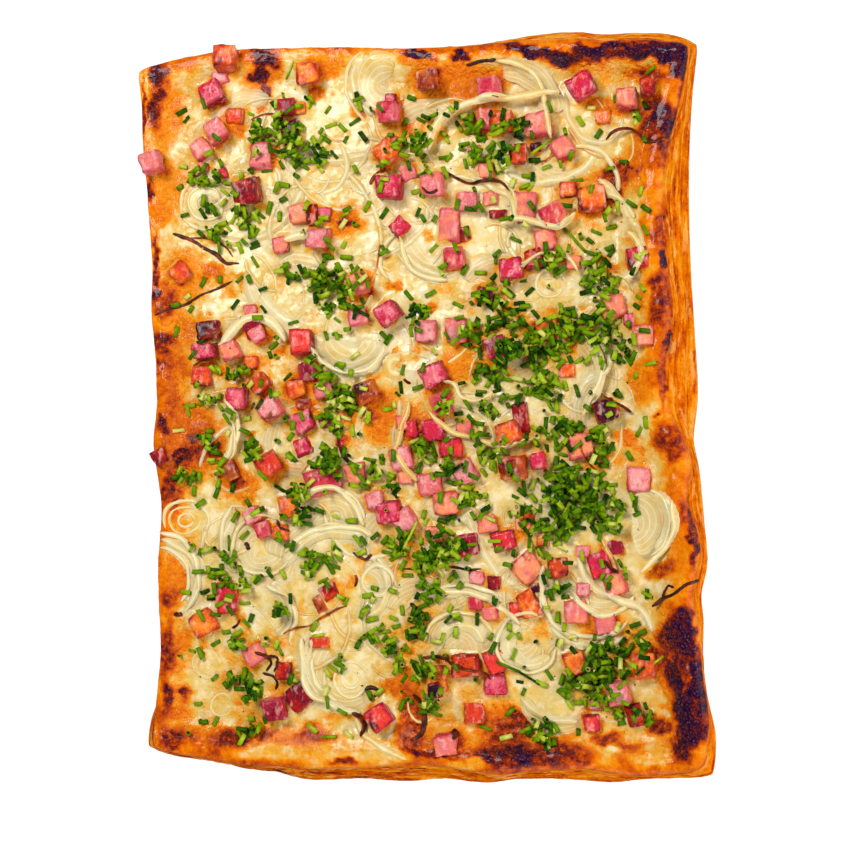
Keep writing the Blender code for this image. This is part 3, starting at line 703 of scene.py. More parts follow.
@dataclass(frozen=True)
class Signal:
    """An output in a shader tree, which is added, scaled and spread like a number."""

    graph: "Graph"
    socket: bpy.types.NodeSocket

    def step(self, operation: str, *others: object) -> "Signal":
        """One step of arithmetic on this and others."""
        given = dict(enumerate((self, *others)))
        return self.graph.node("ShaderNodeMath", given, operation=operation)

    def __add__(self, other: object) -> "Signal":
        """The sum."""
        return self.step("ADD", other)

    def __sub__(self, other: object) -> "Signal":
        """The difference."""
        return self.step("SUBTRACT", other)

    def __mul__(self, other: object) -> "Signal":
        """The product."""
        return self.step("MULTIPLY", other)

    def times(self, factor: object, more: object) -> "Signal":
        """The product with a factor, and something more."""
        return self.step("MULTIPLY_ADD", factor, more)

    def most(self, other: object) -> "Signal":
        """The greater of two."""
        return self.step("MAXIMUM", other)

    def size(self) -> "Signal":
        """The number without its sign."""
        return self.step("ABSOLUTE")

    def held(self) -> "Signal":
        """Holds the last step between 0 and 1."""
        self.socket.node.use_clamp = True
        return self

    def spread(self, low: float, high: float, to_low: float, to_high: float) -> "Signal":
        """Maps a range of values to another, held at its ends.

        Args:
            low: Start of the range.
            high: End of the range.
            to_low: What the start becomes.
            to_high: What the end becomes.

        Returns:
            The mapped values.
        """
        given = dict(enumerate((self, low, high, to_low, to_high)))
        return self.graph.node("ShaderNodeMapRange", given, clamp=True)

    def between(self, low: float, high: float) -> "Signal":
        """Maps the usual range of noise to another."""
        return self.spread(0.3, 0.7, low, high)

    def ramp(self, stops: Stops) -> "Signal":
        """Colours over 0 to 1.

        Args:
            stops: Places and their screen colours.

        Returns:
            The colour.
        """
        made = self.graph.node("ShaderNodeValToRGB", {0: self})
        band = made.socket.node.color_ramp.elements
        while len(band) < len(stops):
            band.new(1.0)
        for element, (place, colour) in zip(band, stops):
            element.position, element.color = place, linear(*colour)
        return made

    def under(self, ink: Ink, share: "Signal") -> "Signal":
        """Covers this colour by a share of a screen colour."""
        given = {0: share, 6: self, 7: linear(*ink)}
        return self.graph.node("ShaderNodeMix", given, 2, data_type="RGBA")

    def bump(self, depth: float) -> "Signal":
        """A normal bent by this height, whose full range stands so deep in metres."""
        given = {"Height": self, "Distance": depth, "Strength": 1.0}
        return self.graph.node("ShaderNodeBump", given)


class Graph:
    """A shader tree being wired: each method adds a node and gives its output."""

    def __init__(self, tree: bpy.types.NodeTree) -> None:
        """Takes the tree to wire."""
        self.tree = tree

    def feed(self, socket: bpy.types.NodeSocket, value: object) -> None:
        """Links a socket to a signal, or sets its number.

        Args:
            socket: The input.
            value: A signal, a number, a colour or a vector.
        """
        if isinstance(value, Signal):
            self.tree.links.new(value.socket, socket)
        else:
            socket.default_value = value

    def add(self, kind: str, given: Mapping, **settings: object) -> bpy.types.Node:
        """Adds a node.

        Args:
            kind: The node's type.
            given: What its inputs take, by name or number.
            settings: The node's own settings.

        Returns:
            The node.
        """
        node = self.tree.nodes.new(kind)
        for name, value in settings.items():
            setattr(node, name, value)
        for name, value in given.items():
            self.feed(node.inputs[name], value)
        return node

    def node(self, kind: str, given: Mapping, output: object = 0, **settings: object) -> Signal:
        """Adds a node and gives one of its outputs, by name or number."""
        return Signal(self, self.add(kind, given, **settings).outputs[output])

    def place(self, stretch: Triple = (1.0, 1.0, 1.0)) -> Signal:
        """Object coordinates, stretched by a factor along each axis."""
        spot = self.node("ShaderNodeTexCoord", {}, "Object")
        return self.node("ShaderNodeMapping", {"Vector": spot, "Scale": stretch})

    def noise(self, vector: Signal, scale: float, detail: float = 3.0) -> Signal:
        """Soft noise of 0 to 1."""
        given = {"Vector": vector, "Scale": scale, "Detail": detail, "Roughness": 0.55}
        return self.node("ShaderNodeTexNoise", given, "Fac")

    def cells(self, vector: Signal, scale: float) -> Signal:
        """Distance to scattered points."""
        given = {"Vector": vector, "Scale": scale}
        return self.node("ShaderNodeTexVoronoi", given, "Distance", feature="F1")

    def attribute(self, name: str) -> Signal:
        """A number kept on the piece."""
        return self.node("ShaderNodeAttribute", {}, "Fac", attribute_name=name)


class Surface(Graph):
    """A fresh material with its shader."""

    def __init__(self, name: str) -> None:
        """Makes the material.

        Args:
            name: Its name.
        """
        self.material = bpy.data.materials.new(name)
        self.material.use_nodes = True
        super().__init__(self.material.node_tree)
        self.shader = self.tree.nodes["Principled BSDF"]

    def dress(self, given: Mapping[str, object]) -> bpy.types.Material:
        """Feeds the shader.

        Args:
            given: Signals, numbers and colours by the name of the shader's input.

        Returns:
            The material.
        """
        for name, value in given.items():
            self.feed(self.shader.inputs[name], value)
        return self.material


@dataclass(frozen=True)
class BakeGrain:
    """The shared shader group of all that is baked.

    From the level of baking it puts out a colour with scorch grain and painted highlights on
    the tops of burnt knobs, the share of wet sheen, the roughness and the height of small pits.
    """

    name: str = "bake_grain"
    outputs: tuple = (
        ("Color", "NodeSocketColor"), ("Wet", "NodeSocketFloat"),
        ("Roughness", "NodeSocketFloat"), ("Height", "NodeSocketFloat"),
    )
    grain_scale: float = 380.0
    fine_scale: float = 1500.0
    curd_scale: float = 170.0
    clear_scale: float = 210.0
    pebble_scale: float = 520.0
    small_pebble_scale: float = 950.0
    knob_scale: float = 760.0
    curd: Ink = (236, 221, 182)
    clear: Ink = (212, 172, 80)
    # Colour of the painted highlight on the tops of the burnt knobs.
    knob_highlight: Ink = (170, 92, 88)
    stops: Stops = (
        (0.00, (236, 223, 186)), (0.07, (225, 203, 136)), (0.15, (218, 180, 90)),
        (0.24, (228, 158, 42)), (0.33, (230, 138, 16)), (0.42, (224, 115, 4)),
        (0.52, (202, 90, 6)), (0.62, (174, 62, 14)), (0.72, (140, 44, 20)),
        (0.82, (98, 30, 36)), (0.92, (64, 22, 54)), (1.00, (38, 14, 58)),
    )

    def group(self) -> bpy.types.NodeTree:
        """The group, wired at its first use.

        Returns:
            The group.
        """
        if self.name in bpy.data.node_groups:
            return bpy.data.node_groups[self.name]
        group = bpy.data.node_groups.new(self.name, "ShaderNodeTree")
        group.interface.new_socket("Bake", in_out="INPUT", socket_type="NodeSocketFloat")
        for label, kind in self.outputs:
            group.interface.new_socket(label, in_out="OUTPUT", socket_type=kind)
        self.wire(Graph(group))
        return group

    def wire(self, graph: Graph) -> None:
        """Wires the group.

        Args:
            graph: The group's tree.
        """
        given = graph.node("NodeGroupInput", {}, "Bake")
        place = graph.place()
        grain = graph.noise(place, self.grain_scale, 2)
        fine = graph.noise(place, self.fine_scale, 2)
        broken = grain.between(-0.5, 0.5) + fine.between(-0.16, 0.16)
        reach = given.spread(0.05, 0.45, 0.05, 0.14) + given.spread(0.5, 0.78, 0.0, 0.24)
        level = (given + broken * reach).held()
        soft = level.spread(0.12, 0.32, 1.0, 0.0)
        curd = graph.noise(place, self.curd_scale).spread(0.48, 0.62, 0.0, 0.7) * soft
        clear = graph.noise(graph.place((1.0, 1.3, 1.0)), self.clear_scale)
        clear = clear.spread(0.54, 0.66, 0.0, 0.5) * soft
        burnt = level.spread(0.66, 0.9, 0.0, 1.0)
        knobs = graph.cells(place, self.knob_scale)
        # Painted highlight: the tops of the burnt knobs, where the grain allows, turn pale purple.
        knob_highlight = burnt * (knobs.spread(0.1, 0.5, 0.75, 0.0) * grain.spread(0.42, 0.66, 0.15, 1.0))
        colour = level.ramp(self.stops).under(self.curd, curd).under(self.clear, clear)
        small = graph.cells(place, self.small_pebble_scale) * 0.6
        pebbles = graph.cells(place, self.pebble_scale) + small
        rough = soft * -0.75 + burnt.times(2.0, 1.0)
        graph.add("NodeGroupOutput", {
            "Color": colour.under(self.knob_highlight, knob_highlight),
            "Wet": soft.times(0.25, 0.06),
            "Roughness": grain.between(0.16, 0.36),
            "Height": (grain - pebbles) * rough - knobs * (burnt * 2.5),
        })

    def on(self, surface: Surface, level: Signal) -> dict[str, Signal]:
        """Adds the group to a material.

        Args:
            surface: The material.
            level: The level of baking.

        Returns:
            The group's outputs by name.
        """
        node = surface.add("ShaderNodeGroup", {"Bake": level}, node_tree=self.group())
        return {label: Signal(surface, node.outputs[label]) for label, _ in self.outputs}


@dataclass(frozen=True)
class BakedFinish:
    """Browned cream and crust: colour, sheen and pits follow the painted level of baking."""

    name: str = "baked top"
    pit_depth: float = 0.0008

    def build(self) -> bpy.types.Material:
        """Wires the material.

        Returns:
            The material.
        """
        surface = Surface(self.name)
        baked = BakeGrain().on(surface, surface.attribute("bake"))
        return surface.dress({
            "Base Color": baked["Color"],
            "Roughness": baked["Roughness"],
            "Normal": baked["Height"].bump(self.pit_depth),
            "Coat Weight": baked["Wet"],
            "Coat Roughness": 0.06,
            "Specular IOR Level": 0.12,
        })


@dataclass(frozen=True)
class Browning:
    """Where the top is browned: patches of across, down, half sizes, turn and level."""

    cream_level: float = 0.15
    rim_level: float = 0.46
    belt_level: float = 0.37
    belts: tuple[float, float, float, float] = (0.016, 0.017, 0.021, 0.006)
    warp: float = 6.5
    fine_warp: float = 2.0
    warp_width: float = 0.008
    fine_warp_width: float = 0.0025
    cream_mottle: float = 0.7
    belt_mottle: float = 1.35
    rim_mottle: float = 0.75
    spot_band: tuple[float, float] = (0.36, 0.80)
    patch_band: tuple[float, float] = (0.55, 1.35)
    belt_wander: float = 0.55
    belt_fringe: float = 0.25
    belt_band: tuple[float, float] = (0.35, 1.15)
    # Mottling of the ground: grain, weight and width in metres.
    mottles: tuple = (
        (FINE, 0.15, 0.026), (BROAD, 0.14, 0.011), (FINE, 0.10, 0.0055), (FINE, 0.05, 0.003),
    )
    pool_share: float = 0.72
    mild: float = 0.6
    mild_drop: float = 0.09
    char_gain: float = 0.22
    spot_gain: float = 0.24
    patches: tuple = (
        (160, 76, 10, 12, 0, .8), (156, 106, 9, 20, 5, .78), (143, 110, 3, 30, 0, .72),
        (176, 112, 12, 22, 0, .48), (165, 130, 14, 30, 0, .4), (150, 195, 6, 10, 0, .74),
        (153, 270, 5, 34, 0, .76), (170, 190, 20, 26, 0, .42), (160, 215, 12, 16, 0, .5),
        (185, 275, 30, 30, 0, .44), (167, 302, 12, 18, 0, .64), (186, 328, 16, 18, 0, .5),
        (213, 275, 10, 8, 0, .58), (264, 57, 15, 11, 10, .9), (262, 77, 10, 9, 0, .8),
        (265, 92, 6, 7, 0, .72), (264, 75, 16, 24, 0, .5), (322, 66, 26, 14, -10, .48),
        (316, 92, 9, 8, 0, .56), (356, 115, 8, 8, 0, .54), (420, 57, 16, 6, 15, .86),
        (458, 57, 12, 6, -10, .86), (455, 80, 50, 22, 0, .52), (530, 50, 22, 7, 12, .93),
        (560, 58, 22, 8, 8, .9), (600, 54, 26, 9, 0, .95), (635, 50, 26, 10, 0, .96),
        (665, 50, 18, 12, 10, .97), (682, 66, 9, 20, 0, .95), (650, 38, 50, 4, 0, .62),
        (655, 76, 24, 9, 0, .64), (686, 92, 8, 18, 0, .64), (664, 156, 9, 12, 20, .64),
        (658, 114, 16, 17, 30, .87), (668, 128, 9, 20, 25, .95), (645, 130, 8, 10, 0, .7),
        (616, 176, 22, 15, 0, .68), (600, 108, 14, 9, 0, .52), (412, 62, 14, 8, 0, .5),
        (615, 192, 10, 14, 0, .7), (642, 173, 4, 8, 0, .74), (661, 228, 8, 20, 0, .7),
        (660, 298, 10, 33, 0, .68), (662, 259, 6, 8, -20, 1.1), (671, 343, 5, 14, 0, .84),
        (663, 385, 4, 26, 0, .66), (670, 442, 16, 18, -20, .68), (656, 414, 3, 3, 0, .85),
        (642, 380, 14, 26, 0, .48), (626, 438, 18, 10, 0, .52), (684, 535, 19, 40, 0, .48),
        (684, 512, 10, 14, 0, .62), (692, 535, 5, 40, 0, .84), (661, 568, 15, 8, -20, .61),
        (163, 340, 12, 10, 0, .72), (160, 364, 6, 10, 0, .74), (163, 425, 7, 12, 0, .8),
        (192, 440, 34, 35, 0, .59), (201, 447, 17, 17, 0, .73), (182, 460, 9, 12, 0, .8),
        (172, 492, 12, 22, 0, .73), (243, 485, 9, 8, 0, .66), (240, 483, 22, 16, 0, .5),
        (250, 435, 6, 5, 0, .56), (372, 413, 12, 9, 0, .64), (379, 416, 20, 29, 0, .5),
        (173, 583, 14, 34, 0, .5), (168, 600, 8, 12, 0, .68), (168, 647, 9, 32, 0, .69),
        (184, 640, 12, 18, 0, .5), (168, 694, 8, 15, 0, .76), (187, 690, 8, 8, 0, .72),
        (173, 740, 16, 14, 0, .72), (232, 741, 17, 10, 0, .71), (264, 734, 12, 6, 0, .7),
        (316, 737, 20, 9, 0, .62), (345, 762, 15, 5, 0, .74), (401, 686, 20, 12, 0, .54),
        (413, 725, 15, 36, 0, .64), (347, 222, 10, 9, 0, .72), (347, 222, 20, 18, 0, .5),
        (395, 285, 7, 6, 0, .5), (430, 305, 7, 6, 0, .5), (460, 365, 22, 17, 0, .44),
        (525, 757, 72, 14, 0, .7), (506, 736, 24, 22, 0, .66), (516, 718, 11, 10, 0, .72),
        (500, 725, 25, 26, 0, .54), (512, 757, 30, 9, 0, .83), (564, 757, 26, 11, 0, .73),
        (426, 753, 26, 3.5, 12, .76), (608, 740, 15, 8, 8, .65), (630, 749, 15, 5, 5, .63),
        (660, 727, 15, 12, 0, .66), (677, 645, 20, 42, 4, .74), (684, 632, 13, 26, 6, .9),
        (686, 668, 17, 28, 4, .93), (692, 702, 19, 27, -6, .97), (690, 735, 13, 22, 22, .96),
        (678, 757, 13, 6, -40, .86),
    )
    pools: tuple = (
        (320, 125, 60, 16, 0, .09), (250, 150, 22, 14, 0, .1), (300, 190, 40, 16, 20, .1),
        (230, 345, 22, 20, 0, .03), (480, 150, 50, 14, 0, .03), (490, 225, 56, 34, 0, .02),
        (430, 200, 22, 22, 0, .03), (570, 105, 40, 22, 0, .08), (600, 140, 30, 20, 0, .08),
        (560, 290, 60, 20, 0, .05), (350, 250, 24, 26, 0, .09), (310, 300, 44, 20, -20, .06),
        (440, 320, 50, 18, 0, .03), (500, 400, 60, 24, 0, .04), (590, 380, 34, 34, 0, .06),
        (430, 470, 54, 24, 0, .03), (340, 470, 22, 20, 0, .05), (560, 500, 60, 40, 0, .04),
        (640, 500, 24, 34, 0, .06), (620, 330, 24, 20, 0, .07), (250, 540, 34, 30, 0, .08),
        (320, 560, 40, 36, 0, .07), (480, 560, 60, 26, 0, .04), (580, 590, 50, 24, 0, .04),
        (320, 640, 30, 30, 0, .06), (310, 706, 26, 16, 0, .04), (350, 690, 16, 14, 0, .02),
        (480, 640, 50, 24, 0, .06), (560, 660, 40, 24, 0, .08), (540, 700, 30, 20, 0, .1),
        (210, 560, 24, 26, 0, .1), (215, 690, 20, 30, 0, .14), (380, 610, 26, 30, 0, .06),
        (640, 590, 18, 30, 0, .08), (640, 690, 18, 16, 0, .1), (187, 95, 13, 26, 0, .16),
        (308, 57, 36, 9, 0, .14), (215, 64, 22, 8, 0, .18), (205, 130, 16, 30, 0, .14),
        (188, 150, 12, 44, 0, .22), (168, 178, 9, 15, 0, .28), (169, 562, 8, 16, 0, .2),
        (370, 78, 26, 10, 0, .2), (512, 78, 20, 9, 0, .28), (356, 742, 22, 9, 0, .26),
    )
    fresh: tuple = (
        (590, 42, 9, 6, 0, .5), (676, 81, 8, 8, 0, .45), (376, 756, 36, 8, 6, .18),
        (345, 750, 26, 8, 5, .24), (272, 754, 44, 9, 3, .22), (652, 757, 26, 10, 0, .24),
        (465, 765, 24, 6, 0, .28), (536, 738, 9, 7, 0, .25), (686, 680, 4, 20, 10, .66),
        (676, 742, 5, 6, 0, .6),
    )

    def level(self, x: Array, y: Array, z: Array, rim: Array) -> Array:
        """Level of baking, 0 for raw cream to 1 for charred.

        Args:
            x: Places across.
            y: Places along.
            z: Heights.
            rim: Share of crust, 0 on the cream and 1 on the ridge.

        Returns:
            The levels.
        """
        across, down = PLAN.seen(x, y, z)
        across = across + self.warp * FINE.fractal(x, y, self.warp_width)
        across = across + self.fine_warp * BROAD.fractal(x, y, self.fine_warp_width)
        down = down + self.warp * BROAD.fractal(x + 0.05, y, self.warp_width)
        down = down + self.fine_warp * FINE.fractal(x, y + 0.07, self.fine_warp_width)
        char = self.char_gain * FINE.fractal(x + 0.11, y, 0.007)
        patchy = sum(weight * grain.fractal(x, y, width) for grain, weight, width in self.mottles)
        spots = eased(BROAD.fractal(x + 0.3, y, 0.009), *self.spot_band) * self.spot_gain
        belt = self.belt(x, y)
        level = self.cream_level + self.cream_mottle * patchy + spots * (1 - belt)
        level = level * (1 - belt) + (self.belt_level + self.belt_mottle * patchy) * belt
        level = level * (1 - rim) + (self.rim_level + self.rim_mottle * patchy) * rim
        for *patch, aim in self.pools:
            share = self.share(patch, across, down) * self.pool_share
            level = aim * share + level * (1 - share)
        for *patch, aim in self.patches:
            share = self.share(patch, across, down)
            burn = aim - self.mild_drop * (aim < self.mild) + char * eased(aim, self.mild, 0.9)
            level = np.maximum(level, burn * share + level * (1 - share))
        for *patch, aim in self.fresh:
            share = self.share(patch, across, down)
            level = aim * share + level * (1 - share)
        return np.clip(level, 0, 1)

    def belt(self, x: Array, y: Array) -> Array:
        """Share of the golden belt that runs inside the rim.

        Args:
            x: Places across.
            y: Places along.

        Returns:
            The shares, 0 to 1.
        """
        inward = FORM.inward(*FORM.square_of(x, y))
        wander = 1 + self.belt_wander * FINE.fractal(x + 0.2, y, 0.03)
        wander = wander + self.belt_fringe * BROAD.fractal(x, y, 0.009)
        widths = [side * wander for side in self.belts]
        low, high = self.belt_band
        gaps = [1 - eased(gap, low * wide, high * wide) for gap, wide in zip(inward, widths)]
        return np.max(gaps, axis=0)

    def share(self, patch: Sequence[float], across: Array, down: Array) -> Array:
        """How much a patch covers each plan point.

        Args:
            patch: Its place across and down, half sizes and turn.
            across: Plan units across.
            down: Plan units down.

        Returns:
            The shares, 0 to 1.
        """
        at_across, at_down, wide, tall, degrees = patch
        turn = math.radians(degrees)
        right, below = across - at_across, down - at_down
        a = right * math.cos(turn) + below * math.sin(turn)
        b = -right * math.sin(turn) + below * math.cos(turn)
        return 1 - eased(np.hypot(a / wide, b / tall), *self.patch_band)


BROWNING = Browning()


@dataclass
class PastryShell:
    """The puffed sheet: layered side walls, blistered rim and the bed under the cream."""

    around: int = 1120
    wall_levels: int = 30
    rim_levels: int = 13
    layer_stand: float = 0.0009
    rough_stand: float = 0.0005
    girth: float = 1.2
    leaves: float = 6.0
    wander: float = 1.6
    slow_wander: float = 0.5
    leaf_edge: float = 0.7
    leaf_level: float = 0.55
    wall_rim: float = 0.85
    rim_fade: float = 0.9
    wall_cover: float = 0.88
    bed: float = 0.0074
    tucks: tuple = ((0.0003, 0.0019), (0.008, 0.0024), (0.018, 0.0))
    ruffles: tuple[float, ...] = (1.0, 1.0, 0.6, 0.5, 0.5, 0.6, 0.7, 0.7, 0.8, 0.8, 1.0)
    layers: tuple = ((0, -.5), (.14, .5), (.28, -.5), (.44, .6), (.58, -.5), (.78, .4), (1, 0))
    wall_bake: tuple[float, ...] = (.41, .42, .40, .38, .38, .37, .29, .29, .30, .32, .44)

    def build(self) -> bpy.types.Object:
        """Grows the shell ring by ring from the foot.

        Returns:
            The piece.
        """
        shell = Bench.model(
            "pastry_shell", bpy.ops.mesh.primitive_circle_add,
            vertices=self.around, radius=0.1, fill_type="NOTHING",
        )
        turn = np.arange(self.around) / self.around * 4
        side, share = np.floor(turn).astype(int) % 4, (turn % 1.0) * 2 - 1
        one = np.ones_like(share)
        u = np.choose(side, [share, one, -share, -one])
        v = np.choose(side, [-one, share, one, -share])
        Bench.store(shell, u=u, v=v, turn=turn / 4)
        rings = self.wall_levels + self.rim_levels + 1 + len(self.tucks)
        steps = [bpy.ops.mesh.extrude_region_move] * (rings - 1)
        Bench.edit(shell, Bench.everything, *steps)
        self.shape(shell, rings)
        for ring in (0, rings - 1):
            chosen = np.zeros(self.around * rings, bool)
            chosen[ring * self.around : (ring + 1) * self.around] = True
            Bench.choose(shell, chosen)
            Bench.edit(shell, bpy.ops.mesh.edge_face_add)
        Bench.finish(shell, CrustFinish().build())
        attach(shell, "root")
        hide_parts("pastry")
        return shell

    @staticmethod
    def round_the_wall(turn: Array, row: Sequence[float]) -> Array:
        """Reads a row of values that run once round the wall."""
        return np.interp(turn, np.linspace(0, 1, len(row)), row)

    def shape(self, shell: bpy.types.Object, rings: int) -> None:
        """Moves each ring into place and paints the baking.

        Args:
            shell: The stack of rings.
            rings: How many there are.
        """
        u, v, turn = (Bench.read(shell, name).reshape(rings, -1) for name in ("u", "v", "turn"))
        points = np.zeros((rings, self.around, 3))
        rim, rise, layered = np.zeros((3, rings, self.around))
        for ring in range(self.wall_levels):
            share = ring / (self.wall_levels - 1)
            points[ring] = self.wall_ring(u[ring], v[ring], turn[ring], share)
            rim[ring], rise[ring] = self.wall_rim, share
            layered[ring] = self.round_the_wall(turn[ring], self.ruffles)
        first_tuck = rings - len(self.tucks)
        for ring in range(self.wall_levels, first_tuck):
            share = (ring - self.wall_levels + 1) / self.rim_levels
            at = FORM.inset(u[ring], v[ring], 0.0, min(share, 1.0))
            x, y = FORM.place_in(FORM.ridge, *at)
            points[ring] = np.column_stack([x, y, FORM.top(*at) + RELIEF.at(x, y)])
            rim[ring], rise[ring] = 1 - self.rim_fade * share, 1.0
        for ring, (more, drop) in enumerate(self.tucks, first_tuck):
            points[ring] = FORM.tucked(u[ring], v[ring], more, drop, self.bed)
            rise[ring] = 1.0
        Bench.move(shell, points.reshape(-1, 3))
        wall = self.wall_cover * (1 - eased(rise, 0.80, 0.98)).ravel()
        tone = self.round_the_wall(turn.ravel(), self.wall_bake)
        level = BROWNING.level(*points.reshape(-1, 3).T, rim.ravel())
        bake = level * (1 - wall) + tone * wall
        Bench.store(shell, bake=bake, rise=rise.ravel(), layered=layered.ravel())

    def wall_ring(self, u: Array, v: Array, turn: Array, share: float) -> Array:
        """One ring of the wall, its thin layers standing out and in.

        Args:
            u: Square coordinate across.
            v: Square coordinate along.
            turn: Share of the way round, 0 to 1.
            share: Share of the wall's height.

        Returns:
            The ring's points.
        """
        foot_x, foot_y = FORM.place_in(FORM.foot, u, v)
        ridge_x, ridge_y = FORM.place_in(FORM.ridge, u, v)
        height = FORM.top(u, v) + RELIEF.at(ridge_x, ridge_y)
        stand = np.interp(share, *zip(*self.layers)) * MM
        along, flat = turn * self.girth, np.zeros_like(turn)
        wander = FINE.fractal(along * 9, flat + share * 0.02, 0.16)
        slow = self.slow_wander * BROAD.value(along, flat, 0.05)
        phase = share * self.leaves + self.wander * wander + slow
        ridges = np.abs(np.sin(math.pi * phase)) ** self.leaf_edge - self.leaf_level
        ridges = ridges * (0.45 + 0.55 * FINE.value(along * 3, flat + share * 0.05, 0.04))
        rough = BROAD.fractal(along, flat + share * 0.03, 0.006)
        fade = math.sin(math.pi * min(1.0, share * 1.02)) ** 0.5 if 0 < share < 1 else 0.0
        ruffle = fade * self.round_the_wall(turn, self.ruffles)
        out = stand + ruffle * (self.layer_stand * ridges + self.rough_stand * rough)
        reach = np.hypot(foot_x, foot_y)
        x = foot_x + (ridge_x - foot_x) * share + out * foot_x / reach
        y = foot_y + (ridge_y - foot_y) * share + out * foot_y / reach
        return np.column_stack([x, y, height * share])


@dataclass(frozen=True)
class CrustFinish:
    """Crust: the painted baking, with darker and paler streaks along the wall's layers, painted
    shade in its creases and painted highlights on its flakes.
    """

    name: str = "layered crust"
    streak_scale: float = 260.0
    fine_scale: float = 900.0
    crease_scale: float = 150.0
    flake_highlight_scale: float = 230.0
    # Colour of the painted highlights on the wall.
    flake_highlight: Ink = (250, 178, 92)
    pit_depth: float = 0.0005

    def build(self) -> bpy.types.Material:
        """Wires the material.

        Returns:
            The material.
        """
        surface = Surface(self.name)
        layered, rise = surface.attribute("layered"), surface.attribute("rise")
        streaks = surface.noise(surface.place((0.16, 0.16, 2.6)), self.streak_scale, 4)
        fine = surface.noise(surface.place((0.3, 0.3, 3.0)), self.fine_scale, 2)
        creases = surface.noise(surface.place((0.42, 0.36, 1.5)), self.crease_scale, 4)
        flake_highlights = surface.noise(surface.place((0.4, 0.4, 1.7)), self.flake_highlight_scale)
        wall = rise.spread(0.86, 0.99, 1.0, 0.0)
        dark = streaks.spread(0.40, 0.68, -0.10, 0.34) + fine.between(-0.04, 0.05)
        # Painted shade: the level rises where the crease relief sinks and drops a little on its
        # ridges, as painted light.
        dark = dark.times(layered, creases.spread(0.42, 0.53, 0.10, -0.05))
        baked = BakeGrain().on(surface, dark.times(wall, surface.attribute("bake")))
        # Painted highlight: pale peach flecks on the wall where this noise is high.
        flake_highlights = flake_highlights.spread(0.56, 0.63, 0.0, 0.55) * wall
        layers = streaks.times(layered, creases * 2.0) * wall
        return surface.dress({
            "Base Color": baked["Color"].under(self.flake_highlight, flake_highlights),
            "Roughness": baked["Roughness"],
            "Normal": (baked["Height"] + layers * 3.5).bump(self.pit_depth),
            "Coat Weight": wall.times(-0.2, 0.2),
            "Coat Roughness": 0.12,
            "Specular IOR Level": 0.0,
        })


@dataclass
class CreamTop:
    """The baked cream, from a fine grid whose edge laps a little over the crust."""

    across: int = 250
    along: int = 322
    lap: float = 0.0018
    tuck: float = 0.0005
    crown: float = 0.00015
    ragged: float = 0.00025
    ragged_width: float = 0.005
    shoulder: float = 0.0012
    crust: float = 0.15
    crust_band: tuple[float, float] = (-0.001, 0.004)
    singe: float = 0.08
    singe_mottle: float = 0.24
    singe_width: float = 0.006
    singe_most: float = 0.32
    collar: float = 0.0011
    bed: float = 0.0078
    tucks: tuple = ((0.0006, 0.0014), (0.008, 0.0020), (0.018, 0.0))

    def build(self) -> bpy.types.Object:
        """Shapes the grid, then closes it down to the bed.

        Returns:
            The piece.
        """
        cream = Bench.model(
            "cream_top", bpy.ops.mesh.primitive_grid_add,
            x_subdivisions=self.across, y_subdivisions=self.along, size=2,
        )
        u, v, _ = Bench.points(cream).T
        edge = np.maximum(np.abs(u), np.abs(v)) > 1 - 1e-5
        at = FORM.inset(u, v, -self.lap)
        x, y = FORM.place_in(FORM.ridge, *at)
        gap = np.min([side - inset for side, inset in zip(FORM.inward(*at), FORM.insets)], axis=0)
        body = eased(gap, -self.lap, self.shoulder)
        frill = self.ragged * BROAD.fractal(x, y, self.ragged_width) * (1 - body)
        lift = -self.tuck + (self.tuck + self.crown) * body + frill
        near = HamDice().nearness(x, y)
        z = FORM.top(*at) + RELIEF.at(x, y) + lift + self.collar * near
        level = BROWNING.level(x, y, z, self.crust * (1 - eased(gap, *self.crust_band)))
        mottle = self.singe_mottle * FINE.fractal(x, y, self.singe_width)
        singed = near * np.clip(self.singe + mottle, 0, self.singe_most)
        Bench.store(cream, bake=np.clip(level + singed, 0, 1), u=u, v=v)
        Bench.move(cream, np.column_stack([x, y, z]))
        self.close(cream, edge)
        Bench.finish(cream, BakedFinish().build())
        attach(cream, "root")
        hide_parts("cream")
        return cream

    def close(self, cream: bpy.types.Object, edge: Array) -> None:
        """Extrudes the edge down and in, ring by ring, and fills the flat underside.

        Args:
            cream: The shaped grid.
            edge: Whether each vertex is on its edge.
        """
        Bench.choose(cream, edge)
        for more, drop in self.tucks:
            Bench.edit(cream, bpy.ops.mesh.extrude_region_move)
            chosen = np.empty(len(cream.data.vertices), bool)
            cream.data.vertices.foreach_get("select", chosen)
            points = Bench.points(cream)
            u, v = (Bench.read(cream, name)[chosen] for name in ("u", "v"))
            points[chosen] = FORM.tucked(u, v, more, drop, self.bed)
            Bench.move(cream, points)
        Bench.edit(cream, bpy.ops.mesh.edge_face_add)


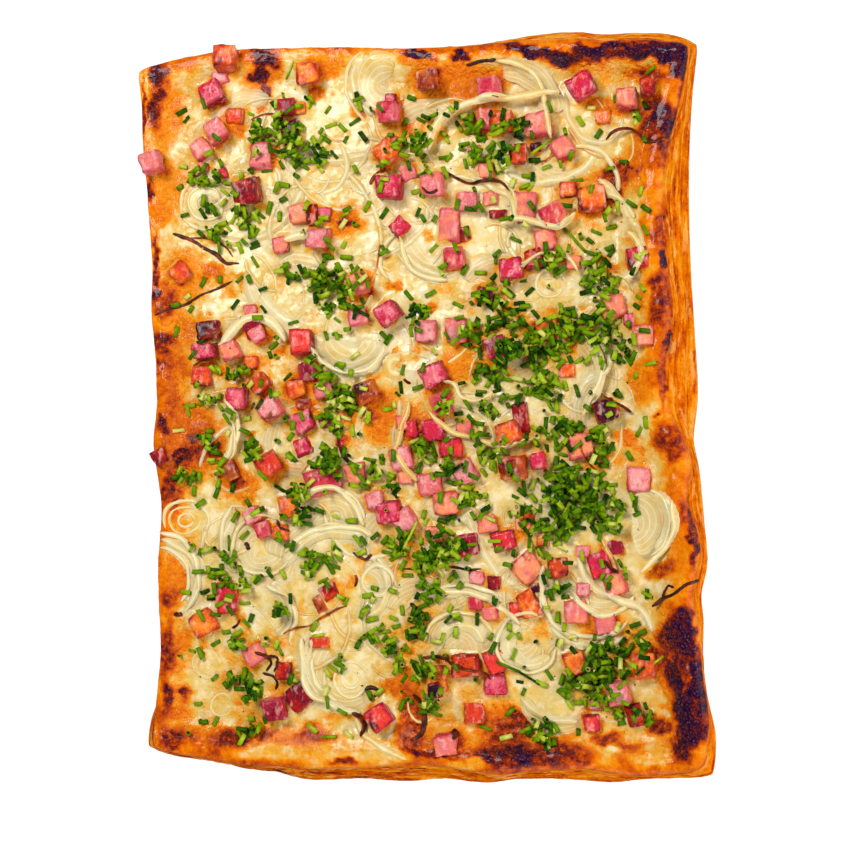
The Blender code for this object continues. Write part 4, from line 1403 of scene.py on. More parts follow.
@dataclass
class Footing:
    """Heights of what already lies on the sheet, so that later toppings rest on it."""

    cell: float = 0.00075
    reach: tuple[float, float] = (0.140, 0.180)
    off_sheet: float = 0.0008

    def __post_init__(self) -> None:
        """Starts from the bare top of the sheet."""
        sides = (np.arange(-reach, reach + self.cell, self.cell) for reach in self.reach)
        x, y = np.meshgrid(*sides, indexing="ij")
        u, v = FORM.square_of(x, y)
        at_x, at_y = FORM.place_in(FORM.ridge, u, v)
        outside = np.hypot(at_x - x, at_y - y) > self.off_sheet
        self.heights = np.where(outside, 0.0, FORM.top(u, v) + RELIEF.at(x, y))

    def index(self, x: Array, y: Array) -> tuple:
        """The raster cell of each place.

        Args:
            x: Places across.
            y: Places along.

        Returns:
            Rows and columns.
        """
        return tuple(
            np.clip(np.rint((np.asarray(at) + reach) / self.cell).astype(int), 0, size - 1)
            for at, reach, size in zip((x, y), self.reach, self.heights.shape)
        )

    def top_at(self, x: Array, y: Array) -> Array:
        """Height of what lies at each place."""
        return self.heights[self.index(x, y)]

    def raise_to(self, x: Array, y: Array, z: Array, spread: int = 1) -> None:
        """Lifts the raster to points of a piece that has been laid.

        Args:
            x: Places across.
            y: Places along.
            z: Heights of the points.
            spread: How many cells round a point it covers.
        """
        row, column = self.index(x, y)
        last_row, last_column = (size - 1 for size in self.heights.shape)
        for i in range(-spread, spread + 1):
            for j in range(-spread, spread + 1):
                at = np.clip(row + i, 0, last_row), np.clip(column + j, 0, last_column)
                np.maximum.at(self.heights, at, z)


FOOTING = Footing()


@dataclass
class Copies:
    """Many copies of one modelled thing, gathered into a single mesh."""

    prototype: bpy.types.Object
    points: list = field(default_factory=list)
    numbers: dict = field(default_factory=dict)

    def __post_init__(self) -> None:
        """Reads the prototype's points once."""
        self.unit = Bench.points(self.prototype)

    def add(self, points: Array, **numbers: object) -> None:
        """Adds one copy.

        Args:
            points: Where the prototype's vertices go.
            numbers: Attributes of the copy, one number or one a vertex.
        """
        self.points.append(points)
        for name, value in numbers.items():
            row = np.broadcast_to(np.asarray(value, float), (len(points),))
            self.numbers.setdefault(name, []).append(row)

    def gather(self, name: str) -> bpy.types.Object:
        """Makes the joined mesh and takes the prototype away.

        Args:
            name: The piece's name.

        Returns:
            The piece.
        """
        source = self.prototype.data
        size, count = len(source.vertices), len(self.points)
        loops = np.empty(len(source.loops), np.int32)
        source.loops.foreach_get("vertex_index", loops)
        totals = np.empty(len(source.polygons), np.int32)
        source.polygons.foreach_get("loop_total", totals)
        corners = (loops[None, :] + size * np.arange(count)[:, None]).ravel()
        starts = np.concatenate([[0], np.cumsum(np.tile(totals, count))[:-1]])
        mesh = bpy.data.meshes.new(name)
        mesh.vertices.add(size * count)
        mesh.vertices.foreach_set("co", np.concatenate(self.points).astype(np.float32).ravel())
        mesh.loops.add(len(corners))
        mesh.loops.foreach_set("vertex_index", corners.astype(np.int32))
        mesh.polygons.add(len(starts))
        mesh.polygons.foreach_set("loop_start", starts.astype(np.int32))
        mesh.update(calc_edges=True)
        obj = bpy.data.objects.new(name, mesh)
        bpy.context.scene.collection.objects.link(obj)
        Bench.store(obj, **{label: np.concatenate(rows) for label, rows in self.numbers.items()})
        bpy.data.objects.remove(self.prototype)
        return obj


class Tone(Enum):
    """Colour families of the ham, named after the finishes of the record."""

    PINK = "ham_pink"
    RED = "ham_red"
    ROAST = "ham_roast"
    DARK = "ham_dark"


@dataclass(frozen=True)
class HamFinish:
    """Cooked ham: moist face, darker roasted edges and paler cut sides."""

    tone: Tone
    face: tuple[Ink, Ink, Ink, Ink]
    side: Ink
    rim: Ink
    skin: Ink
    scorch: Ink = (60, 18, 28)
    charred: float = 0.45
    pale: Ink = (252, 196, 184)
    places: tuple[float, ...] = (0.0, 0.35, 0.65, 1.0)
    blotch_scale: float = 190.0
    fine_scale: float = 900.0
    pale_scale: float = 420.0
    pit_depth: float = 0.0007

    def build(self) -> bpy.types.Material:
        """Wires the material.

        Returns:
            The material.
        """
        surface = Surface(self.tone.value)
        place = surface.place()
        blotch = surface.noise(place, self.blotch_scale)
        fine = surface.noise(place, self.fine_scale)
        pale = surface.noise(surface.place((1.0, 0.45, 1.0)), self.pale_scale, 2)
        shade = surface.attribute("tone") + blotch.between(-0.45, 0.45)
        shade = (shade + fine.spread(0.35, 0.65, -0.18, 0.18)).held()
        side = surface.attribute("side").spread(0.2, 0.9, 0.0, 0.55)
        skin = surface.attribute("skin") * blotch.spread(0.3, 0.6, 0.55, 1.0)
        worn = surface.attribute("edge") * blotch.spread(0.38, 0.62, 0.0, 0.8)
        burnt = surface.attribute("burn") + blotch.spread(0.25, 0.75, -0.5, 0.5)
        burnt = burnt.spread(self.charred, self.charred + 0.3, 0.0, 0.9)
        colour = shade.ramp(tuple(zip(self.places, self.face))).under(self.side, side)
        colour = colour.under(self.skin, skin).under(self.rim, worn).under(self.scorch, burnt)
        return surface.dress({
            "Base Color": colour.under(self.pale, pale.spread(0.54, 0.68, 0.0, 0.42)),
            "Roughness": fine.between(0.18, 0.36),
            "Normal": (blotch + fine).bump(self.pit_depth),
            "Coat Weight": 0.13,
            "Coat Roughness": 0.07,
            "Specular IOR Level": 0.1,
            "Subsurface Weight": 0.12,
            "Subsurface Radius": (0.003, 0.0012, 0.0008),
            "Subsurface Scale": 0.4,
        })


HAM_FINISHES = (
    HamFinish(
        Tone.PINK, ((240, 144, 98), (228, 118, 106), (220, 106, 116), (230, 152, 154)),
        (220, 88, 92), (184, 34, 50), (196, 30, 62), (134, 50, 30), 0.62,
    ),
    HamFinish(
        Tone.RED, ((226, 60, 48), (208, 30, 56), (196, 32, 76), (226, 98, 118)),
        (178, 18, 38), (120, 4, 24), (132, 4, 34),
    ),
    HamFinish(
        Tone.ROAST, ((240, 142, 40), (232, 108, 34), (222, 74, 30), (206, 50, 36)),
        (216, 92, 34), (124, 28, 8), (124, 18, 12),
    ),
    HamFinish(
        Tone.DARK, ((210, 70, 20), (176, 24, 16), (150, 12, 20), (112, 10, 34)),
        (170, 46, 24), (34, 6, 20), (48, 8, 34),
    ),
)


@dataclass
class HamDice:
    """Ham dice: the record's dice in their places, the small ones and trimmings.

    Rows of small dice and bits give the place across and down, the width, the length,
    the turn in degrees and a letter for the kind. Bands give the ends of a soft step,
    other pairs the least and the most.
    """

    cuts: int = 5
    squareness: float = 11.0
    small_height: float = 0.0065
    bit_height: float = 0.0045
    sunk: float = 0.0019
    settled: float = 0.0007
    shrunk: float = 0.96
    swell: float = 1.13
    lean: float = 0.12
    skew: float = 0.12
    twist: float = 0.10
    dents: float = 0.05
    fine_dents: float = 0.04
    blotches: float = 0.30
    skinned: float = 0.16
    near_box: float = 0.012
    near_fall: float = 0.0016
    waves: Triple = (2.2, 2.9, 2.5)
    finer_waves: Triple = (5.1, 6.3, 4.4)
    wave_stray: tuple[float, float] = (0.7, 1.3)
    core: float = 0.97
    outermost: float = 1.04
    up_facing: float = 0.9
    side_facing: float = 0.3
    same_facing: float = 0.94
    face_sharpness: int = 10
    edge_band: tuple[float, float] = (0.72, 0.99)
    side_band: tuple[float, float] = (-0.3, 0.4)
    skin_band: tuple[float, float] = (0.3, 0.8)
    shades: tuple[float, float] = (0.1, 0.9)
    shade_stray: float = 0.2
    burns: tuple[float, float] = (-0.45, 0.35)
    burn_slope: float = 0.35
    cover_points: int = 20
    small: tuple = (
        (199, 148, 18, 18, 35, "s"), (284, 105, 16, 16, 5, "r"), (287, 128, 18, 18, 10, "d"),
        (258, 154, 20, 24, 0, "p"), (297, 213, 18, 18, 15, "s"), (398, 226, 16, 15, 45, "r"),
        (484, 118, 14, 20, 0, "p"), (562, 147, 19, 19, 30, "p"), (485, 169, 14, 14, 5, "p"),
        (279, 244, 15, 15, 10, "s"), (252, 328, 18, 16, 20, "r"), (424, 330, 20, 19, 0, "p"),
        (455, 329, 20, 22, 0, "p"), (356, 316, 18, 16, 10, "s"), (465, 200, 20, 18, 0, "l"),
        (453, 257, 19, 19, 5, "p"), (545, 239, 20, 20, 10, "p"), (534, 258, 18, 18, 15, "d"),
        (484, 293, 14, 14, 0, "d"), (591, 198, 24, 22, 5, "o"), (612, 304, 22, 20, 10, "s"),
        (637, 259, 18, 18, 5, "r"), (643, 335, 18, 18, 0, "p"), (545, 329, 22, 20, 10, "o"),
        (306, 371, 18, 17, 5, "r"), (294, 388, 17, 15, 10, "o"), (321, 389, 18, 16, 15, "p"),
        (301, 421, 20, 20, 25, "r"), (199, 376, 19, 17, 0, "o"), (227, 470, 15, 18, 25, "o"),
        (321, 481, 32, 24, 20, "p"), (440, 404, 19, 20, 10, "s"), (432, 430, 20, 20, 5, "r"),
        (449, 448, 21, 16, 5, "r"), (400, 458, 20, 20, 15, "l"), (428, 484, 22, 20, 5, "p"),
        (464, 472, 20, 20, 30, "l"), (579, 446, 22, 22, 10, "p"), (638, 480, 20, 22, 0, "l"),
        (354, 474, 18, 20, 10, "s"), (285, 508, 16, 20, 10, "o"), (251, 516, 16, 14, 30, "p"),
        (261, 530, 14, 14, 20, "p"), (373, 501, 16, 16, 10, "p"), (387, 512, 22, 20, 5, "r"),
        (403, 520, 20, 20, 30, "l"), (444, 503, 22, 20, 5, "s"), (467, 545, 18, 20, 10, "r"),
        (503, 541, 21, 18, 15, "r"), (526, 568, 24, 24, 40, "s"), (557, 568, 18, 18, 5, "d"),
        (600, 566, 20, 22, 20, "r"), (615, 584, 20, 20, 15, "p"), (224, 599, 21, 27, 0, "r"),
        (201, 624, 24, 22, 30, "o"), (252, 655, 20, 18, 30, "l"), (282, 672, 14, 16, 0, "d"),
        (528, 605, 18, 24, 25, "o"), (465, 666, 26, 20, 5, "d"), (494, 662, 18, 20, 20, "r"),
        (494, 685, 20, 18, 5, "r"), (437, 683, 14, 20, 15, "o"), (575, 612, 20, 20, 5, "p"),
        (605, 624, 20, 18, 10, "s"), (574, 664, 20, 20, 20, "o"), (634, 717, 14, 20, 15, "d"),
        (591, 724, 14, 14, 5, "r"), (298, 698, 24, 22, 35, "d"), (473, 715, 18, 18, 5, "o"),
        (446, 744, 20, 18, 10, "s"), (160, 457, 14, 14, 30, "d"), (178, 272, 18, 17, 40, "o"),
        (206, 329, 22, 18, 5, "d"),
    )
    bits: tuple = (
        (219, 76, 16, 12, 10, "l"), (233, 115, 17, 14, 0, "o"), (202, 166, 10, 8, 0, "p"),
        (221, 172, 10, 9, 10, "r"), (299, 107, 10, 12, 0, "o"), (390, 97, 10, 8, 0, "r"),
        (393, 141, 8, 10, 0, "r"), (407, 172, 14, 14, 20, "l"), (535, 146, 10, 8, 0, "d"),
        (474, 150, 12, 10, 10, "p"), (603, 116, 14, 12, 0, "o"), (249, 310, 12, 12, 10, "p"),
        (312, 214, 8, 20, 0, "d"), (323, 214, 12, 14, 0, "r"), (490, 197, 14, 12, 0, "s"),
        (497, 213, 16, 8, 0, "d"), (449, 225, 20, 32, 0, "p"), (463, 233, 12, 14, 10, "o"),
        (524, 206, 20, 28, 0, "p"), (573, 262, 14, 12, 0, "s"), (568, 189, 16, 14, 0, "o"),
        (630, 319, 12, 12, 0, "r"), (250, 362, 14, 12, 5, "o"), (258, 335, 14, 14, 30, "p"),
        (302, 404, 14, 10, 0, "o"), (326, 419, 16, 14, 10, "r"), (337, 419, 10, 12, 0, "s"),
        (302, 447, 16, 16, 20, "r"), (340, 440, 10, 10, 0, "o"), (400, 423, 10, 14, 10, "s"),
        (411, 429, 10, 16, 10, "r"), (404, 476, 14, 14, 0, "p"), (463, 428, 14, 12, 0, "p"),
        (566, 370, 14, 12, 0, "o"), (521, 418, 14, 28, 8, "d"), (280, 533, 14, 14, 0, "o"),
        (486, 524, 18, 16, 10, "s"), (525, 522, 18, 16, 0, "o"), (543, 541, 12, 10, 0, "o"),
        (432, 534, 16, 14, 0, "s"), (440, 562, 18, 14, 10, "s"), (476, 578, 14, 12, 0, "l"),
        (493, 583, 12, 12, 0, "d"), (535, 588, 8, 8, 0, "d"), (517, 610, 14, 14, 0, "r"),
        (490, 613, 14, 12, 10, "p"), (475, 603, 12, 12, 0, "p"), (615, 548, 14, 12, 0, "r"),
        (583, 552, 12, 10, 0, "l"), (583, 590, 12, 12, 0, "p"), (328, 592, 16, 14, 30, "d"),
        (318, 605, 10, 16, 30, "o"), (318, 643, 18, 10, 0, "o"), (440, 672, 12, 12, 0, "o"),
        (435, 690, 12, 14, 10, "d"), (596, 706, 12, 10, 0, "p"),
    )
    kinds: tuple = (
        ("p", Tone.PINK, 0.5), ("s", Tone.PINK, 0.15), ("l", Tone.PINK, 0.9), ("r", Tone.RED, 0.5),
        ("o", Tone.ROAST, 0.4), ("d", Tone.DARK, 0.5),
    )

    def die(self) -> bpy.types.Object:
        """Models one die: a cube with rounded edges and a fine skin to dent.

        Returns:
            The die.
        """
        die = Bench.model("die", bpy.ops.mesh.primitive_cube_add, size=2)
        Bench.edit(
            die, Bench.everything, lambda: bpy.ops.mesh.subdivide(number_cuts=self.cuts)
        )
        points = Bench.points(die)
        length = (np.abs(points) ** self.squareness).sum(axis=1) ** (1 / self.squareness)
        Bench.move(die, points / length[:, None])
        return die

    def boxes(self) -> Iterator[tuple]:
        """Reads the frame's dice.

        Returns:
            Name, middle, axes, half sizes and tone of each.
        """
        slots = {row["node"]: row["material_slot"] for row in frame["record"]["subparts"]}
        for name, node in sorted(frame["nodes"].items()):
            if not name.startswith("ham"):
                continue
            mesh = node.data
            points = np.array([vertex.co for vertex in mesh.vertices])
            normals = np.array([face.normal for face in mesh.polygons])
            areas = np.array([face.area for face in mesh.polygons])
            up = (normals * (areas * (normals[:, 2] > self.up_facing))[:, None]).sum(axis=0)
            up /= np.linalg.norm(up)
            first = normals[np.argmax(areas * (np.abs(normals @ up) < self.side_facing))]
            alike = areas * (normals @ first > self.same_facing)
            right = (normals * alike[:, None]).sum(axis=0)
            right -= up * (right @ up)
            right /= np.linalg.norm(right)
            axes = np.stack([right, np.cross(up, right), up])
            spread = points @ axes.T
            low, high = spread.min(axis=0), spread.max(axis=0)
            yield name, (low + high) / 2 @ axes, axes, (high - low) / 2, Tone(slots[name])

    def nearness(self, x: Array, y: Array) -> Array:
        """How near each place is to a die.

        Args:
            x: Places across.
            y: Places along.

        Returns:
            1 at a die's side and 0 past a few millimetres.
        """
        prints = [
            (*middle[:2], *half[:2], math.atan2(axes[0][1], axes[0][0]))
            for _, middle, axes, half, _ in self.boxes()
        ]
        for across, down, wide, long, turn, _ in self.small + self.bits:
            spot = PLAN.place(across, down, FORM.middle + self.small_height)
            half = PLAN.length(wide) / 2, PLAN.length(long) / 2
            prints.append((*spot, *half, math.radians(turn)))
        near = np.zeros(np.shape(x))
        for at_x, at_y, half_x, half_y, turn in prints:
            close = (np.abs(x - at_x) < self.near_box) & (np.abs(y - at_y) < self.near_box)
            local = np.flatnonzero(close)
            right, ahead = x[local] - at_x, y[local] - at_y
            a = np.abs(right * math.cos(turn) + ahead * math.sin(turn)) - half_x
            b = np.abs(-right * math.sin(turn) + ahead * math.cos(turn)) - half_y
            gap = np.hypot(np.maximum(a, 0), np.maximum(b, 0))
            near[local] = np.maximum(near[local], np.exp(-((gap / self.near_fall) ** 2)))
        return near

    def build(self) -> list:
        """Lays the dice, one piece for each tone.

        Returns:
            The pieces.
        """
        draw = np.random.default_rng(SEED + 5)
        groups = {tone: Copies(self.die()) for tone in Tone}
        replaced = {tone: [] for tone in Tone}
        for name, middle, axes, half, tone in self.boxes():
            middle = middle - axes[2] * self.settled
            shade = draw.uniform(*self.shades)
            self.lay(groups[tone], middle, axes, half * self.shrunk, shade, draw)
            replaced[tone].append(name)
        lookup = {letter: (tone, shade) for letter, tone, shade in self.kinds}
        for rows, height in ((self.small, self.small_height), (self.bits, self.bit_height)):
            for across, down, wide, long, turn, letter in rows:
                tone, shade = lookup[letter]
                x, y = PLAN.place(across, down, FORM.middle + height)
                lean = draw.uniform(-self.lean, self.lean, 2)
                axes = Matrix.Rotation(math.radians(turn), 3, "Z")
                axes = axes @ Matrix.Rotation(lean[0], 3, "X") @ Matrix.Rotation(lean[1], 3, "Y")
                sides = PLAN.length(wide) * self.swell, PLAN.length(long) * self.swell, height
                floor = FOOTING.top_at(x, y) - self.sunk
                middle = np.array([x, y, floor + height / 2])
                shade = shade + draw.uniform(-self.shade_stray, self.shade_stray)
                self.lay(groups[tone], middle, np.array(axes).T, np.array(sides) / 2, shade, draw)
        pieces = []
        for finish in HAM_FINISHES:
            piece = groups[finish.tone].gather(finish.tone.value)
            Bench.finish(piece, finish.build())
            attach(piece, "root")
            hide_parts(*replaced[finish.tone])
            pieces.append(piece)
        return pieces

    def lay(
        self, group: Copies, middle: Array, axes: Array, half: Array,
        tone: float, draw: np.random.Generator,
    ) -> None:
        """Puts one uneven die in its box.

        Args:
            group: The copies of its tone.
            middle: The box's middle.
            axes: The box's axes as rows.
            half: Half sizes along the axes.
            tone: Shade within the tone, 0 to 1.
            draw: Random numbers.
        """
        unit = group.unit
        phase = draw.uniform(0, ANY_TURN, (3, 3))
        waves = [
            np.sin(unit @ np.array(self.waves) * draw.uniform(*self.wave_stray) + shift.sum())
            for shift in phase
        ]
        finer = np.sin(unit[:, [1, 2, 0]] @ np.array(self.finer_waves) + phase[0][0])[:, None]
        lean = unit[:, 2:3] * draw.uniform(-self.skew, self.skew, (1, 3)) * np.array([1, 1, 0])
        twist = unit[:, :1] * unit[:, 1:2] * draw.uniform(-self.twist, self.twist, (1, 3))
        lean += twist * np.array([1, 1, 0.6])
        local = unit * (self.core + self.fine_dents * finer)
        local = local + self.dents * np.stack(waves, axis=1) + lean
        points = middle + (np.clip(local, -self.outermost, self.outermost) * half) @ axes
        edge = eased(np.sort(np.abs(unit), axis=1)[:, 1], *self.edge_band)
        side = eased(np.abs(unit[:, :2]).max(axis=1) - unit[:, 2], *self.side_band)
        faces = np.concatenate([np.maximum(unit, 0), np.maximum(-unit, 0)], axis=1)
        faces = faces**self.face_sharpness
        faces /= faces.sum(axis=1, keepdims=True)
        shades = faces @ draw.normal(0, self.blotches, 6)
        skins = np.zeros(6)
        skins[draw.choice([0, 1, 3, 4])] = 1.0
        skins[2] = draw.random() < self.skinned
        skin = eased(faces @ skins, *self.skin_band)
        heading = unit[:, :2] @ draw.uniform(-1, 1, 2)
        burn = np.clip(draw.uniform(*self.burns) + self.burn_slope * heading, 0, 1)
        burn = burn * (0.4 + 0.6 * (unit[:, 2] > -0.2))
        tone = np.clip(tone + shades, 0, 1)
        group.add(points, tone=tone, edge=edge, side=side, burn=burn, skin=skin)
        row = np.linspace(-1, 1, self.cover_points)
        a, b = np.meshgrid(row, row)
        cover = np.stack([a.ravel(), b.ravel(), np.ones(a.size)], axis=1) * half
        FOOTING.raise_to(*(middle + cover @ axes).T, 0)


@dataclass(frozen=True)
class OnionFinish:
    """Soft onion: pale and see-through, whiter along its rings, with fine ribs and a painted
    highlight along each strip's edges.
    """

    name: str = "onion"
    blotch_scale: float = 130.0
    ribs_a_metre: float = 700.0
    # White of the ring lines, and of the painted highlight along the strip edges.
    white: Ink = (252, 243, 212)
    stops: Stops = (
        (0.0, (242, 229, 180)), (0.3, (240, 217, 146)), (0.55, (236, 198, 98)),
        (0.8, (234, 160, 60)), (1.0, (206, 104, 20)),
    )
    rib_depth: float = 0.0004

    def build(self) -> bpy.types.Material:
        """Wires the material.

        Returns:
            The material.
        """
        surface = Surface(self.name)
        blotch = surface.noise(surface.place(), self.blotch_scale)
        ring, cross = surface.attribute("ring"), surface.attribute("cross")
        ribs = {0: surface.attribute("along") * self.ribs_a_metre, 1: ring * 0.8}
        comb = surface.noise(surface.node("ShaderNodeCombineXYZ", ribs), 1.0, 2)
        warm = (surface.attribute("tone") + blotch.between(-0.28, 0.28)).held()
        phase = (ring.step("FRACT") - 0.5).size()
        white = phase.spread(0.3, 0.49, 0.0, 0.45).most(comb.spread(0.55, 0.72, 0.0, 0.25))
        # Painted highlight: a white line along both edges of every strip.
        white = white.most(cross.size().spread(0.72, 0.95, 0.0, 1.0) * 0.5)
        solid = surface.attribute("body").spread(0.3, 0.6, 0.34, 0.76)
        return surface.dress({
            "Base Color": warm.ramp(self.stops).under(self.white, white),
            "Roughness": blotch.between(0.15, 0.35),
            "Alpha": white.times(0.3, solid).held(),
            "Normal": (comb + blotch).bump(self.rib_depth),
            "Subsurface Weight": 0.2,
            "Subsurface Radius": (0.003, 0.003, 0.002),
            "Subsurface Scale": 0.15,
            "Coat Weight": 0.25,
            "Coat Roughness": 0.08,
            "Specular IOR Level": 0.15,
        })


@dataclass
class Strips:
    """Soft strips that drape over the food along plan paths.

    The waves of the path and the pulse of the width give a rise and a length.
    """

    stations: int
    cells: int
    thickness: float = 0.0006
    flat: float = 0.2
    kept_near: float = 0.0012
    deepest: float = 0.004
    ridge_height: float = 0.0001
    tapered: float = 0.22
    wavy_below: float = 20.0
    full_width: float = 8.0
    tone_stray: float = 0.08
    sag: float = 0.0006
    arc_points: int = 13
    waves: tuple = ((0.7, 9), (0.4, 4))
    pulse: tuple[float, float] = (0.10, 7)
    ridge_width: float = 0.2
    thinned: float = 0.9
    curl: float = 1.15

    def __post_init__(self) -> None:
        """Models the flat strip that every one is bent from."""
        strip = Bench.model(
            "strip", bpy.ops.mesh.primitive_grid_add,
            x_subdivisions=self.stations, y_subdivisions=self.cells, size=2,
        )
        self.group = Copies(Bench.thicken(strip, self.flat, 0.0))
        self.draw = np.random.default_rng(SEED + self.stations)

    @staticmethod
    def arc(across: float, down: float, radius: float, start: float, end: float) -> Array:
        """Plan points along an arc.

        Args:
            across: Its centre across.
            down: Its centre down.
            radius: Its radius in plan units.
            start: Its first angle in degrees, from the right towards the far side.
            end: Its last angle.

        Returns:
            The points as rows.
        """
        turn = np.radians(np.linspace(start, end, Strips.arc_points))
        return np.column_stack([across + radius * np.cos(turn), down - radius * np.sin(turn)])

    def ground(self, x: Array, y: Array) -> Array:
        """Heights that a strip rests on, eased over dips.

        Args:
            x: Places across.
            y: Places along.

        Returns:
            The heights.
        """
        steps = (-self.kept_near, 0, self.kept_near)
        ground = np.mean([FOOTING.top_at(x + a, y + b) for a in steps for b in steps], axis=0)
        ground = np.maximum(ground, FOOTING.top_at(x, y) - self.sag)
        return np.maximum(ground, ground.max() - self.deepest)

    def lay(
        self, path: Points, width: float, rings: float, tone: float, body: float,
        lift: float = 0.0006, tips: float = 0.25,
    ) -> None:
        """Drapes one strip.

        Args:
            path: Plan points along its middle.
            width: Width in plan units.
            rings: How many onion layers lie side by side in it.
            tone: 0 for white to 1 for browned.
            body: How solid it looks between its lines, 0 to 1.
            lift: How far it stands over what carries it.
            tips: Width of its ends as a share.
        """
        path = np.asarray(path, float)
        s, t, skin = self.group.unit.T
        steps = np.concatenate([[0], np.cumsum(np.hypot(*np.diff(path, axis=0).T))])
        swing = self.draw.uniform(0, ANY_TURN, 3)
        at = (s + 1) / 2 * steps[-1]
        curves = [SheetForm.through(steps, column) for column in path.T]
        ahead = [curve(at + 1.0) - curve(at - 1.0) for curve in curves]
        size = np.hypot(*ahead) + 1e-9
        taper = tips + (1 - tips) * np.clip((1 - np.abs(s)) / self.tapered, 0, 1) ** 0.5
        wave = sum(
            rise * np.sin(at / length + shift) for (rise, length), shift in zip(self.waves, swing)
        )
        swell, length = self.pulse
        reach = t * width / 2 * taper * (1 + swell * np.sin(at / length + swing[2]))
        side = [step / size * (reach + wave * (width < self.wavy_below)) for step in ahead]
        x, y = PLAN.place(curves[0](at) - side[1], curves[1](at) + side[0], TOPPED)
        ring = (t + 1) / 2 * rings + 0.5 * (rings < 2)
        ridge = np.exp(-((np.abs(ring - np.rint(ring)) / self.ridge_width) ** 2))
        slim = min(1.0, width / self.full_width)
        lens = 1 - self.thinned * t**4
        crown = slim * lift * (0.3 + 0.7 * taper) * (1 - self.curl * t * t)
        skin = skin * (2 / self.flat) * self.thickness / 2 * lens * slim**0.5
        z = self.ground(x, y) + crown + self.ridge_height * ridge * lens + skin
        tone = np.clip(tone + self.draw.uniform(-self.tone_stray, self.tone_stray), 0, 1)
        points = np.column_stack([x, y, z])
        along = PLAN.length(1.0) * at
        self.group.add(points, cross=t, along=along, ring=ring, tone=tone, body=body)
        FOOTING.raise_to(x, y, z, 1)

    def gather(self, name: str, finish: object) -> bpy.types.Object:
        """Joins the strips into a piece that rides on the sheet.

        Args:
            name: The piece's name.
            finish: What it is dressed in.

        Returns:
            The piece.
        """
        piece = self.group.gather(name)
        Bench.finish(piece, finish.build())
        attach(piece, "root")
        return piece


